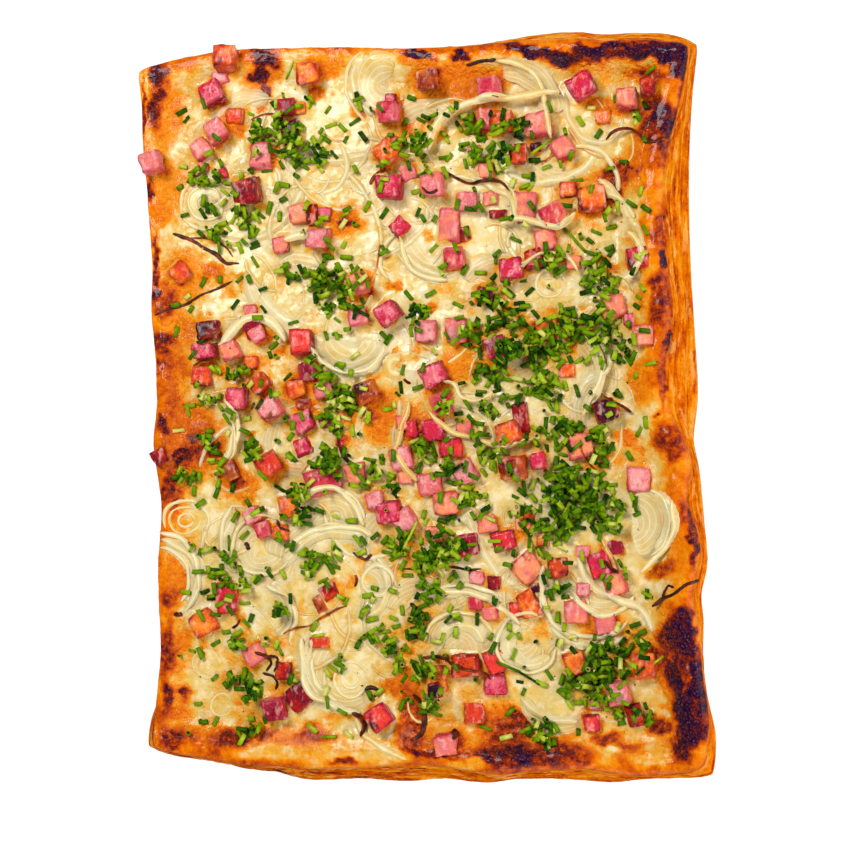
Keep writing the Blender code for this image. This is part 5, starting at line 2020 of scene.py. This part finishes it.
@dataclass
class OnionFields:
    """Wide nests of onion that lie in the cream, under the ham.

    Nests give the centre across and down, the radius, the width, the first and last
    angle, the rings, the tone and the body; ribbons a path, width, rings, tone and body.
    """

    nests: tuple = (
        (205, 204, 12, 22, 20, 372, 2, .25, .6), (350, 333, 24, 46, 178, 362, 5, .1, .55),
        (300, 287, 30, 14, 45, 135, 2, .3, .5), (385, 85, 18, 32, 60, 330, 4, .4, .5),
        (510, 112, 42, 26, 0, 100, 3, .25, .4), (440, 232, 36, 26, 170, 300, 3, .08, .5),
        (556, 372, 42, 30, -55, 52, 4, .2, .45), (630, 522, 20, 36, -80, 80, 4, .1, .34),
        (457, 652, 20, 36, -8, 165, 5, .04, .35), (520, 641, 16, 24, 60, 350, 3, .15, .4),
        (345, 668, 34, 30, 110, 300, 4, .15, .5), (262, 550, 24, 40, 0, 356, 5, .15, .45),
        (262, 612, 26, 18, -60, 75, 2, .1, .45), (325, 565, 46, 44, 35, 170, 4, .1, .4),
        (330, 522, 26, 30, 0, 180, 3, .15, .45), (362, 590, 24, 22, -85, 85, 3, .1, .5),
        (480, 640, 44, 18, 40, 130, 3, .1, .45), (600, 560, 40, 26, 200, 325, 3, .2, .45),
        (160, 580, 36, 20, -40, 78, 2, .1, .5), (425, 135, 30, 22, 20, 150, 3, .1, .4),
        (330, 180, 40, 20, 120, 225, 3, .1, .4), (480, 400, 42, 20, 195, 300, 3, .1, .4),
        (395, 545, 32, 22, 60, 200, 3, .12, .4), (250, 225, 34, 20, 10, 150, 3, .15, .4),
        (560, 470, 36, 20, 200, 330, 3, .15, .4), (560, 140, 34, 20, 150, 290, 3, .2, .4),
        (250, 130, 34, 18, 60, 200, 3, .1, .35), (610, 410, 34, 18, 100, 230, 3, .15, .4),
        (560, 690, 36, 20, 200, 320, 3, .2, .4), (420, 620, 34, 20, 40, 160, 3, .12, .4),
        (300, 440, 30, 18, 140, 280, 3, .12, .4), (500, 300, 40, 20, 30, 150, 3, .1, .35),
    )
    ribbons: tuple = (
        (((246, 272), (258, 300), (284, 324), (312, 340), (338, 352)), 24, 3, .08, .5),
        (((196, 226), (228, 240), (262, 236), (288, 214), (306, 184)), 10, 2, .2, .5),
        (((330, 150), (352, 178), (372, 205), (380, 240), (374, 285), (350, 336)), 7, 1, .45, .6),
        (((505, 172), (530, 181), (560, 180), (584, 166), (602, 148)), 10, 2, .15, .6),
        (((566, 92), (568, 118), (590, 140), (616, 138), (622, 118)), 8, 2, .2, .5),
        (((427, 508), (440, 518), (460, 520), (476, 512), (492, 503)), 13, 2, .12, .6),
        (((468, 516), (477, 540), (486, 557), (505, 580), (540, 598)), 11, 2, .15, .6),
        (((356, 718), (365, 735), (381, 746), (408, 757)), 8, 1, .35, .6),
        (((400, 400), (398, 430), (402, 462), (420, 484), (450, 492)), 9, 2, .15, .5),
        (((520, 700), (538, 713), (556, 720), (578, 722)), 9, 2, .2, .5),
        (((270, 150), (300, 158), (340, 160), (380, 150)), 12, 2, .12, .4),
        (((600, 180), (622, 205), (640, 240), (638, 280)), 9, 2, .25, .5),
    )
    # Loose strands: their number, their spans across, down and of the radius, and their bounds.
    loose: int = 150
    strewn: tuple = ((200, 630), (105, 712), (12, 50))
    least: tuple[float, float] = (200.0, 98.0)
    most: tuple[float, float] = (634.0, 722.0)
    ring_gain: float = 1.6
    lift: float = 0.0004

    def build(self) -> list:
        """Lays nests, ribbons and loose strands.

        Returns:
            The two pieces.
        """
        wide, thin = Strips(30, 14), Strips(26, 4)
        for across, down, radius, width, start, end, rings, tone, body in self.nests:
            arc = Strips.arc(across, down, radius, start, end)
            wide.lay(arc, width, round(rings * self.ring_gain), tone, body, self.lift, 0.5)
        for path, width, rings, tone, body in self.ribbons:
            thin.lay(path, width, rings, tone, body)
        draw = np.random.default_rng(SEED + 31)
        for _ in range(self.loose):
            start = draw.uniform(0, 360)
            middle = [draw.uniform(*span) for span in self.strewn]
            path = Strips.arc(*middle, start, start + draw.uniform(50, 150))
            short = np.maximum(self.least - path.min(axis=0), 0)
            path += short - np.maximum(path.max(axis=0) - self.most, 0)
            width, tone = draw.uniform(2.5, 6.0), draw.uniform(0.0, 0.60)
            thin.lay(path, width, 1, tone, draw.uniform(0.35, 0.6), self.lift)
        finish = OnionFinish()
        pieces = [wide.gather("onion_nests", finish), thin.gather("onion_strands", finish)]
        return pieces


@dataclass
class OnionSlices:
    """Onion that lies on top: the record's slices and the bright arcs beside them.

    Slices and arcs give the centre across and down, the radius, the width, the first
    and last angle and, for arcs, the tone; ribbons a path, width and tone.
    """

    ring_width: float = 7.0
    slices: tuple = (
        (350, 335, 21, 26, 190, 350), (338, 590, 58, 13, 62, 158), (262, 612, 29, 9, -55, 62),
        (350, 584, 37, 9, -62, 45), (352, 662, 47, 11, 150, 262), (460, 649, 24, 14, 15, 160),
        (530, 645, 21, 16, 120, 330), (468, 640, 48, 9, 58, 118), (592, 590, 56, 9, 222, 305),
        (640, 522, 32, 15, -60, 62), (154, 580, 42, 7, -38, 78), (266, 545, 42, 12, 138, 222),
        (196, 436, 38, 7, -40, 52), (556, 372, 45, 10, -48, 42), (500, 112, 48, 8, 20, 76),
        (385, 82, 33, 8, 150, 250), (440, 238, 36, 9, 205, 282),
    )
    arcs: tuple = (
        (350, 335, 38, 4, 200, 340, .1), (338, 590, 66, 3, 70, 140, .3),
        (377, 580, 15, 5, -10, 345, .0), (350, 680, 17, 4, 0, 350, .1),
        (350, 665, 38, 4, 170, 250, .0), (459, 648, 36, 4, -10, 170, .2),
        (527, 643, 30, 4, 60, 350, .2), (463, 640, 55, 4, 50, 125, .0),
        (592, 590, 48, 5, 210, 320, .1), (632, 522, 38, 4, -60, 60, .2),
        (154, 580, 34, 4, -40, 80, .1), (262, 545, 30, 4, 60, 330, .2),
        (200, 430, 40, 4, -30, 50, .1), (385, 84, 40, 4, 130, 240, .3),
        (440, 238, 44, 4, 200, 270, .1), (550, 283, 14, 4, 0, 340, .2),
        (550, 283, 30, 4, 20, 160, .3), (615, 256, 26, 6, -70, 60, .2),
        (300, 258, 22, 8, 60, 130, .3), (396, 366, 7, 13, 60, 300, .5),
        (485, 205, 30, 5, -20, 60, .2), (330, 520, 33, 4, 0, 150, .1),
        (435, 620, 30, 5, 60, 160, .2), (570, 500, 32, 5, -10, 70, .2),
        (205, 203, 9, 3, 0, 340, .2), (205, 203, 17, 4, 20, 350, .2),
        (205, 203, 26, 4, 40, 300, .2), (185, 520, 7, 3, 0, 350, .4),
        (185, 520, 14, 3, 30, 360, .4), (186, 521, 21, 4, -30, 200, .3),
        (205, 665, 7, 3, 0, 350, .5), (205, 665, 14, 3, 20, 330, .4),
        (220, 705, 11, 3, 30, 330, .4), (350, 680, 9, 4, 0, 350, .1),
        (410, 260, 30, 4, 120, 220, .1), (590, 360, 20, 5, -50, 60, .1),
        (605, 580, 34, 6, 200, 330, .1),
    )
    ribbons: tuple = (
        (((284, 552), (300, 538), (316, 530), (336, 527), (356, 529), (378, 538)), 6, .0),
        (((232, 506), (223, 520), (220, 540), (224, 556), (232, 568)), 5, .0),
        (((265, 585), (290, 600), (294, 622), (288, 644)), 5, .1),
        (((301, 638), (302, 668), (310, 690), (328, 704), (346, 711), (360, 712)), 6, .1),
        (((420, 598), (440, 593), (462, 592), (482, 595), (503, 610), (520, 624)), 6, .05),
        (((543, 565), (541, 585), (545, 605), (552, 622), (577, 641)), 6, .1),
        (((577, 558), (586, 578), (602, 592), (622, 602), (642, 609), (652, 632)), 8, .1),
        (((672, 500), (673, 530), (656, 558), (640, 572)), 5, .1),
        (((575, 470), (595, 490), (603, 522)), 6, .1),
        (((160, 533), (178, 537), (191, 549), (197, 572), (196, 595), (183, 614)), 5, .0),
        (((200, 395), (222, 410), (234, 424), (237, 444), (231, 460)), 3, .2),
        (((590, 335), (601, 355), (601, 376), (593, 396), (582, 416)), 5, .1),
        (((497, 63), (520, 66), (537, 80), (546, 106), (551, 140)), 5, .35),
        (((400, 238), (405, 260), (421, 275), (446, 281)), 5, .1),
        (((455, 175), (486, 184), (508, 196), (516, 226)), 6, .2),
        (((222, 346), (236, 328), (256, 318), (276, 325), (286, 342)), 9, .05),
        (((303, 500), (318, 490), (336, 488), (350, 500), (363, 526)), 6, .1),
        (((409, 402), (404, 420), (399, 440), (397, 452), (404, 466), (418, 481)), 6, .65),
        (((428, 411), (437, 420), (450, 430), (470, 437), (500, 446), (537, 438)), 5, .45),
        (((445, 383), (454, 385), (462, 397), (478, 400), (496, 392)), 4, .35),
        (((429, 152), (436, 130), (450, 113), (480, 103), (520, 99), (560, 93)), 7, .25),
        (((500, 225), (520, 220), (540, 224), (560, 228), (576, 214)), 6, .25),
        (((600, 538), (608, 550), (614, 562), (617, 570)), 5, .85),
    )

    def build(self) -> bpy.types.Object:
        """Lays every slice over the ham.

        Returns:
            The piece.
        """
        thin = Strips(28, 6)
        for across, down, radius, width, start, end in self.slices:
            rings = max(1, round(width / self.ring_width))
            path = Strips.arc(across, down, radius, start, end)
            thin.lay(path, width, rings, 0.12, 0.5, 0.0005)
        for across, down, radius, width, start, end, tone in self.arcs:
            thin.lay(Strips.arc(across, down, radius, start, end), width, 1, tone, 0.6)
        for path, width, tone in self.ribbons:
            thin.lay(path, width, 1, tone, 0.7)
        piece = thin.gather("onion_slices", OnionFinish())
        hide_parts(*(name for name in frame["nodes"] if name.startswith("onion")))
        return piece


@dataclass(frozen=True)
class SingedFinish:
    """Strands caught by the heat: brown in the middle, black where thin."""

    name: str = "singed strands"
    blotch_scale: float = 260.0
    stops: Stops = (
        (0.2, (236, 196, 110)), (0.4, (206, 112, 36)), (0.6, (136, 52, 16)),
        (0.8, (86, 32, 12)), (1.0, (38, 16, 12)),
    )
    pit_depth: float = 0.0004

    def build(self) -> bpy.types.Material:
        """Wires the material.

        Returns:
            The material.
        """
        surface = Surface(self.name)
        blotch = surface.noise(surface.place(), self.blotch_scale)
        edge = surface.attribute("cross").spread(0.2, 0.9, 0.0, 0.25)
        burn = (surface.attribute("tone") + blotch.between(-0.22, 0.22)).held()
        return surface.dress({
            "Base Color": (burn - edge).held().ramp(self.stops),
            "Roughness": blotch.between(0.3, 0.5),
            "Normal": blotch.bump(self.pit_depth),
            "Coat Weight": 0.08,
            "Coat Roughness": 0.15,
            "Specular IOR Level": 0.15,
        })


@dataclass
class SingedStrands:
    """Burnt onion strands, curls and crisp edges, as rows of path, width and burn."""

    rows: tuple = (
        (((172, 234), (185, 238), (200, 245), (214, 253), (225, 263), (238, 264)), 4.5, .85),
        (((190, 236), (205, 238), (220, 244), (232, 256)), 2.5, .6),
        (((155, 315), (165, 310), (180, 306), (193, 300), (205, 292), (218, 287),
         (231, 281)), 3.5, .9),
        (((194, 366), (202, 362), (214, 359)), 2.5, .8),
        (((213, 345), (216, 335), (222, 332)), 3, .7),
        (((467, 66), (475, 64), (485, 63), (497, 62)), 4, .95),
        (((444, 171), (455, 178), (470, 182), (500, 182), (508, 190)), 3, .85),
        (((424, 190), (432, 195), (440, 192)), 3, .8),
        (((606, 141), (612, 134), (620, 130), (630, 130), (638, 136), (646, 144), (655, 145),
         (664, 140), (671, 141)), 3.2, .9),
        (((604, 397), (618, 405), (632, 412)), 3, .85),
        (((582, 440), (582, 450), (588, 462), (596, 473)), 2.5, .7),
        (((402, 569), (418, 568), (427, 566), (445, 566), (466, 569), (481, 570)), 3, .9),
        (((423, 657), (440, 658), (452, 663), (465, 668), (480, 671), (491, 679)), 3.5, .85),
        (((283, 634), (300, 628), (313, 624), (320, 618), (330, 613), (346, 607)), 3, .6),
        (((256, 652), (268, 658), (271, 664), (266, 672)), 3.5, .9),
        (((268, 656), (276, 658), (278, 664), (274, 672)), 3, .85),
        (((262, 673), (272, 676), (276, 684), (274, 690)), 3.5, .9),
        (((352, 553), (358, 558), (365, 560), (371, 554)), 3.5, .8),
        (((355, 575), (356, 580), (354, 587)), 3, .7),
        (((410, 603), (418, 611), (428, 620)), 4, .95),
        (((590, 648), (605, 657), (620, 668), (629, 673)), 3, .9),
        (((652, 605), (662, 598), (672, 594), (682, 587), (689, 583), (699, 579)), 4, .9),
        (((663, 596), (665, 588), (668, 584), (674, 586)), 3, .9),
        (((330, 412), (336, 425), (338, 440), (342, 452), (354, 467)), 4, .95),
        (((413, 695), (419, 700), (424, 712), (424, 725), (419, 735), (412, 739)), 5.5, .9),
        (((352, 713), (360, 718), (364, 725), (360, 736)), 4.5, .85),
        (((364, 690), (371, 688), (378, 692), (374, 698)), 5, .9),
        (((240, 620), (236, 626), (231, 628)), 3.5, .8),
        (((174, 614), (178, 616), (182, 615)), 5, .9),
        (((454, 728), (458, 732), (456, 737)), 5, .85),
        (((199, 719), (202, 722), (206, 721)), 4, .75),
        (((244, 543), (247, 546), (248, 550)), 4, .8),
        (((404, 378), (407, 381), (410, 383)), 4, .8),
        (((277, 520), (281, 528), (290, 532)), 3, .8),
        (((575, 678), (584, 672), (589, 660)), 4, .7),
        (((618, 572), (612, 568), (606, 560)), 4, .9),
        (((372, 186), (376, 178), (388, 170)), 4, .75),
        (((380, 240), (377, 262), (372, 282)), 2.5, .45),
        (((308, 205), (310, 215), (308, 225)), 3, .8),
        (((535, 165), (545, 160), (552, 152)), 2.5, .6),
        (((250, 120), (262, 114), (276, 113)), 2.5, .5),
    )

    def build(self) -> bpy.types.Object:
        """Lays every strand, edges up.

        Returns:
            The piece.
        """
        thin = Strips(18, 3, 0.0008)
        for path, width, burn in self.rows:
            thin.lay(path, width, 1, burn, 1.0, 0.0008, 0.45)
        piece = thin.gather("singed_strands", SingedFinish())
        return piece


@dataclass(frozen=True)
class ChiveFinish:
    """Chives: fresh to dark greens, with painted shade inside the hollow, slightly waxy."""

    name: str = "chive"
    blotch_scale: float = 320.0
    fine_scale: float = 1400.0
    # Painted shade for the inner wall of the hollow.
    inside: Ink = (34, 50, 0)
    stops: Stops = (
        (0.0, (18, 58, 2)), (0.2, (50, 96, 2)), (0.42, (86, 128, 2)), (0.6, (116, 150, 4)),
        (0.78, (146, 176, 18)), (0.92, (176, 194, 60)), (1.0, (208, 208, 110)),
    )
    pit_depth: float = 0.0003

    def build(self) -> bpy.types.Material:
        """Wires the material.

        Returns:
            The material.
        """
        surface = Surface(self.name)
        place = surface.place()
        fine = surface.noise(place, self.fine_scale, 2)
        blotch = surface.noise(place, self.blotch_scale, 2)
        shade = (surface.attribute("tone") + blotch.between(-0.12, 0.12)).held()
        return surface.dress({
            # Painted shade: the inner wall of the hollow is darkened.
            "Base Color": shade.ramp(self.stops).under(
                self.inside, surface.attribute("inner") * 0.75
            ),
            "Roughness": fine.between(0.2, 0.36),
            "Normal": fine.bump(self.pit_depth),
            "Coat Weight": 0.06,
            "Coat Roughness": 0.10,
            "Specular IOR Level": 0.04,
        })


@dataclass
class Chives:
    """Chopped chives: hollow rounds in heaps, and single ones between them.

    Heaps give the place across and down, the spread and the count; long ones both ends.
    Pairs of numbers are the least and the most, or for the green its mean and spread.
    """

    sides: int = 8
    radius: float = 0.00104
    wall: float = 0.66
    scattered: int = 590
    heaped: float = 1.35
    gathered: float = 0.60
    upright: float = 0.10
    stump: float = 0.0021
    lowest: float = 0.006
    highest: float = 0.0262
    strewn: tuple = ((175, 650), (95, 740))
    lengths: tuple[float, float] = (7.0, 13.0)
    girths: tuple[float, float] = (0.75, 1.2)
    squashed: tuple[float, float] = (0.55, 1.0)
    green: tuple[float, float] = (0.48, 0.27)
    slimmer: float = 0.7
    steepest: float = 0.6
    bend: float = 0.25
    flare: float = 0.25
    probe: float = 0.7
    tilts: tuple[float, float] = (0.1, 0.5)
    stump_rest: float = 0.75
    round_rest: float = 0.8
    hollow: float = 0.85
    cover: float = 0.1
    cover_points: int = 7
    heaps: tuple = (
        (290, 145, 26, 40), (262, 134, 14, 14), (312, 152, 16, 14), (205, 178, 12, 10),
        (240, 222, 22, 22), (215, 235, 10, 6), (328, 285, 20, 48), (355, 300, 14, 12),
        (415, 142, 20, 24), (480, 147, 30, 44), (520, 128, 10, 8), (415, 312, 12, 10),
        (290, 275, 12, 8), (470, 335, 14, 16), (510, 350, 14, 26), (540, 350, 20, 30),
        (500, 310, 24, 34), (560, 330, 22, 30), (595, 330, 22, 24), (540, 385, 18, 24),
        (555, 260, 12, 12), (598, 275, 22, 26), (620, 345, 14, 14), (343, 400, 15, 36),
        (325, 375, 8, 10), (335, 425, 10, 10), (330, 462, 13, 26), (370, 468, 12, 12),
        (390, 480, 10, 6), (300, 490, 12, 12), (303, 513, 10, 12), (422, 448, 10, 14),
        (450, 470, 12, 12), (450, 408, 9, 8), (495, 380, 20, 22), (480, 412, 10, 6),
        (565, 430, 16, 14), (600, 432, 10, 10), (600, 453, 12, 10), (565, 490, 24, 60),
        (590, 510, 18, 30), (555, 525, 20, 36), (557, 586, 9, 8), (445, 548, 22, 40),
        (420, 560, 12, 12), (430, 590, 12, 10), (415, 625, 14, 16), (395, 650, 14, 14),
        (425, 670, 10, 14), (430, 700, 10, 8), (370, 635, 10, 8), (215, 575, 20, 18),
        (240, 590, 10, 8), (236, 643, 7, 8), (253, 690, 9, 16), (230, 680, 8, 6), (283, 608, 6, 12),
        (310, 560, 14, 14), (330, 560, 14, 8), (395, 545, 9, 12), (605, 665, 22, 46),
        (590, 690, 14, 20), (640, 645, 10, 8), (545, 730, 11, 18), (570, 690, 10, 8),
        (520, 510, 14, 10), (610, 495, 12, 14), (610, 525, 12, 12), (470, 500, 14, 12),
        (490, 455, 16, 14), (545, 440, 14, 10), (208, 438, 5, 7), (250, 446, 7, 7),
        (182, 475, 8, 4), (235, 375, 8, 5), (205, 400, 10, 8), (253, 725, 7, 7), (617, 714, 8, 5),
        (645, 710, 6, 5),
    )
    long_ones: tuple = (
        (285, 79, 295, 62), (530, 155, 552, 140), (563, 227, 585, 252), (497, 661, 520, 672),
        (520, 672, 540, 684), (402, 553, 419, 521), (322, 737, 337, 736), (228, 535, 229, 551),
        (645, 366, 657, 364), (652, 663, 664, 655), (637, 673, 645, 665), (646, 75, 656, 67),
    )

    def tube(self) -> bpy.types.Object:
        """Models one hollow round, an open tube that gets a wall.

        Returns:
            The round.
        """
        tube = Bench.model(
            "tube", bpy.ops.mesh.primitive_cylinder_add,
            vertices=self.sides, radius=1, depth=2, end_fill_type="NOTHING",
        )
        return Bench.thicken(tube, 1 - self.wall, -1.0)

    def build(self) -> bpy.types.Object:
        """Drops every chive where it lies.

        Returns:
            The piece.
        """
        group = Copies(self.tube())
        draw = np.random.default_rng(SEED + 17)
        for across, down, spread, count in self.heaps:
            mood = draw.uniform(-0.1, 0.1)
            for _ in range(round(count * self.heaped)):
                step = draw.normal(0, spread * self.gathered, 2)
                self.drop(group, across + step[0], down + step[1], draw, mood)
        for _ in range(self.scattered):
            across, down = (draw.uniform(*span) for span in self.strewn)
            self.drop(group, across, down, draw, 0.0)
        for first, second, third, fourth in self.long_ones:
            length = math.hypot(third - first, fourth - second)
            given = math.atan2(second - fourth, third - first), length
            self.drop(group, (first + third) / 2, (second + fourth) / 2, draw, 0.0, given)
        piece = group.gather("chive_rounds")
        Bench.finish(piece, ChiveFinish().build())
        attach(piece, "root")
        return piece

    def drop(
        self, group: Copies, across: float, down: float, draw: np.random.Generator,
        mood: float, given: tuple | None = None,
    ) -> None:
        """Lays one chive on what is under it.

        Args:
            group: The copies of the tube.
            across: Plan units across.
            down: Plan units down.
            draw: Random numbers.
            mood: Shift of its heap's green.
            given: Turn and plan length of a chosen one.
        """
        x, y = PLAN.place(across, down, TOPPED)
        turn, units = given or (draw.uniform(0, math.pi), draw.uniform(*self.lengths))
        half = PLAN.length(units) / 2
        radius = self.radius * draw.uniform(*self.girths) * (self.slimmer if given else 1.0)
        stands = given is None and draw.random() < self.upright
        right, ahead = math.cos(turn), math.sin(turn)
        ends = [
            FOOTING.top_at(x + right * half * k * self.probe, y + ahead * half * k * self.probe)
            for k in (-1, 0, 1)
        ]
        if min(ends) < self.lowest:
            return
        slope = (ends[2] - ends[0]) / (2 * self.probe * half)
        pitch = math.atan(float(np.clip(slope, -self.steepest, self.steepest)))
        if stands:
            pitch = math.pi / 2 - draw.uniform(*self.tilts)
            half = min(half, self.stump)
        axis = np.array([right * math.cos(pitch), ahead * math.cos(pitch), math.sin(pitch)])
        side = np.array([-ahead, right, 0.0])
        first, second, length = group.unit.T
        roll = draw.uniform(0, ANY_TURN)
        squash = draw.uniform(*self.squashed)
        a = first * math.cos(roll) - second * math.sin(roll)
        b = (first * math.sin(roll) + second * math.cos(roll)) * squash
        bend = draw.uniform(-self.bend, self.bend) * length**2
        spine = length * (half + radius * self.flare * a * draw.uniform(-1, 1))
        rest = max(float(ends[1]), float(ends[0] + ends[2]) / 2)
        rest += half * self.stump_rest if stands else radius * squash * self.round_rest
        highest = self.highest - radius - half * abs(math.sin(pitch))
        middle = np.array([x, y, min(rest, highest)])
        points = middle + spine[:, None] * axis + ((a + bend) * radius)[:, None] * side
        points += (b * radius)[:, None] * np.cross(axis, side)
        # The inner wall of the hollow, which the finish darkens as painted shade.
        inner = (np.hypot(first, second) < self.hollow).astype(float)
        tone = float(np.clip(draw.normal(*self.green) + mood, 0.0, 1.0))
        group.add(points, tone=tone, inner=inner)
        reach = np.linspace(-1, 1, self.cover_points)[:, None] * half * axis + middle
        FOOTING.raise_to(reach[:, 0], reach[:, 1], reach[:, 2] + radius * squash * self.cover, 1)


@dataclass(frozen=True)
class CrumbFinish:
    """Crumbs and specks: golden to brown to black, dull."""

    name: str = "crumbs"
    blotch_scale: float = 700.0
    stops: Stops = (
        (0.0, (244, 208, 130)), (0.35, (226, 140, 40)), (0.6, (150, 62, 18)),
        (0.8, (70, 24, 12)), (1.0, (26, 12, 10)),
    )
    pit_depth: float = 0.0002

    def build(self) -> bpy.types.Material:
        """Wires the material.

        Returns:
            The material.
        """
        surface = Surface(self.name)
        blotch = surface.noise(surface.place(), self.blotch_scale, 2)
        shade = (surface.attribute("tone") + blotch.between(-0.15, 0.15)).held()
        return surface.dress({
            "Base Color": shade.ramp(self.stops),
            "Roughness": blotch.between(0.4, 0.7),
            "Normal": blotch.bump(self.pit_depth),
        })


@dataclass
class Crumbs:
    """Crumbs of crust and ground pepper strewn over the food."""

    count: int = 420
    least: float = 0.00016
    most: float = 0.00050
    stretched: tuple[float, float] = (0.6, 1.3)
    rough: tuple[float, float] = (0.8, 1.2)
    raised: float = 0.4
    tones: tuple[float, ...] = (0.1, 0.35, 0.6, 0.8, 0.95)
    strewn: tuple = ((175, 660), (85, 750))

    def build(self) -> bpy.types.Object:
        """Strews them, most of them small and dark.

        Returns:
            The piece.
        """
        add = bpy.ops.mesh.primitive_ico_sphere_add
        group = Copies(Bench.model("crumb", add, subdivisions=1, radius=1))
        draw = np.random.default_rng(SEED + 23)
        for _ in range(self.count):
            x, y = PLAN.place(*(draw.uniform(*span) for span in self.strewn), TOPPED)
            size = self.least + (self.most - self.least) * draw.random() ** 2
            shape = group.unit * draw.uniform(*self.stretched, (1, 3))
            shape = shape * draw.uniform(*self.rough, (len(shape), 1))
            middle = np.array([x, y, FOOTING.top_at(x, y) + size * self.raised])
            group.add(middle + shape * size, tone=draw.choice(self.tones))
        piece = group.gather("crumbs")
        Bench.finish(piece, CrumbFinish().build())
        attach(piece, "root")
        return piece


@dataclass
class Studio:
    """Pale table, soft lights and the camera over the food.

    Lights give a name, a place, a size, a power and a colour.
    """

    lens: float = 63.74
    film: float = 36.0
    nearest: float = 0.01
    floor_size: float = 4.0
    floor_gap: float = 0.0005
    floor_stops: Stops = ((0.3, (112, 112, 112)), (0.7, (120, 120, 120)))
    lights: tuple = (
        ("key", (-0.35, 0.45, 0.95), 0.4, 10.6, (1.0, 0.985, 0.95)),
        ("fill", (0.9, 0.0, 0.5), 0.9, 7.8, (1.0, 0.94, 0.84)),
        ("front", (0.15, -0.85, 0.45), 0.7, 4.2, (1.0, 0.94, 0.84)),
    )
    sky: tuple[float, ...] = (1, 0.96, 0.88, 1)
    sky_light: float = 0.12
    sky_seen: float = 0.8

    def build(self) -> None:
        """Sets the stage: floor, lights, sky and camera."""
        self.floor()
        for light in self.lights:
            self.light(*light)
        self.world()
        self.camera()

    def floor(self) -> None:
        """Lays the pale table, which glows so that it stays white."""
        floor = Bench.model(
            "studio_floor", bpy.ops.mesh.primitive_plane_add,
            size=self.floor_size, location=(0, 0, -self.floor_gap),
        )
        surface = Surface("white table")
        soft = surface.noise(surface.place(), 3.0, 2)
        floor.data.materials.append(surface.dress({
            "Base Color": soft.ramp(self.floor_stops),
            "Roughness": soft.between(0.8, 0.95),
            "Specular IOR Level": 0.1,
            "Emission Color": (1, 1, 1, 1),
            "Emission Strength": 0.95,
        }))

    def world(self) -> None:
        """Gives the sky one light for the food and one for the eye."""
        world = bpy.data.worlds.new("studio")
        world.use_nodes = True
        graph = Graph(world.node_tree)
        background = world.node_tree.nodes["Background"]
        looked_at = graph.node("ShaderNodeLightPath", {}, "Is Camera Ray")
        graph.feed(background.inputs[0], self.sky)
        graph.feed(background.inputs[1], looked_at.times(self.sky_seen, self.sky_light))
        bpy.context.scene.world = world
        bpy.context.scene.view_settings.view_transform = "Standard"

    def light(self, name: str, place: Triple, size: float, power: float, colour: Triple) -> None:
        """Adds a soft light that faces the food.

        Args:
            name: Its name.
            place: Where it stands.
            size: Its width.
            power: Its power in watts.
            colour: Its colour.
        """
        turn = Vector(place).to_track_quat("Z", "Y").to_euler()
        bpy.ops.object.light_add(type="AREA", location=place, rotation=turn)
        lamp = bpy.context.active_object
        lamp.name = f"light_{name}"
        lamp.data.size, lamp.data.energy, lamp.data.color = size, power, colour

    def camera(self) -> None:
        """Adds the camera at the plan's eye."""
        bpy.ops.object.camera_add(location=tuple(PLAN.eye()), rotation=PLAN.turn().to_euler())
        camera = bpy.context.active_object
        camera.data.lens, camera.data.sensor_width = self.lens, self.film
        camera.data.clip_start = self.nearest
        bpy.context.scene.camera = camera


def main() -> None:
    """Builds the food on its stage."""
    logging.basicConfig(level=logging.INFO, format="%(message)s")
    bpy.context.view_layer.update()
    parts = (
        PastryShell, CreamTop, OnionFields, HamDice, OnionSlices, SingedStrands, Chives, Crumbs
    )
    for part in parts:
        made = part().build()
        for piece in made if isinstance(made, list) else [made]:
            LOG.info("%s has %d faces", piece.name, len(piece.data.polygons))
    Studio().build()


if __name__ == "__main__":
    main()
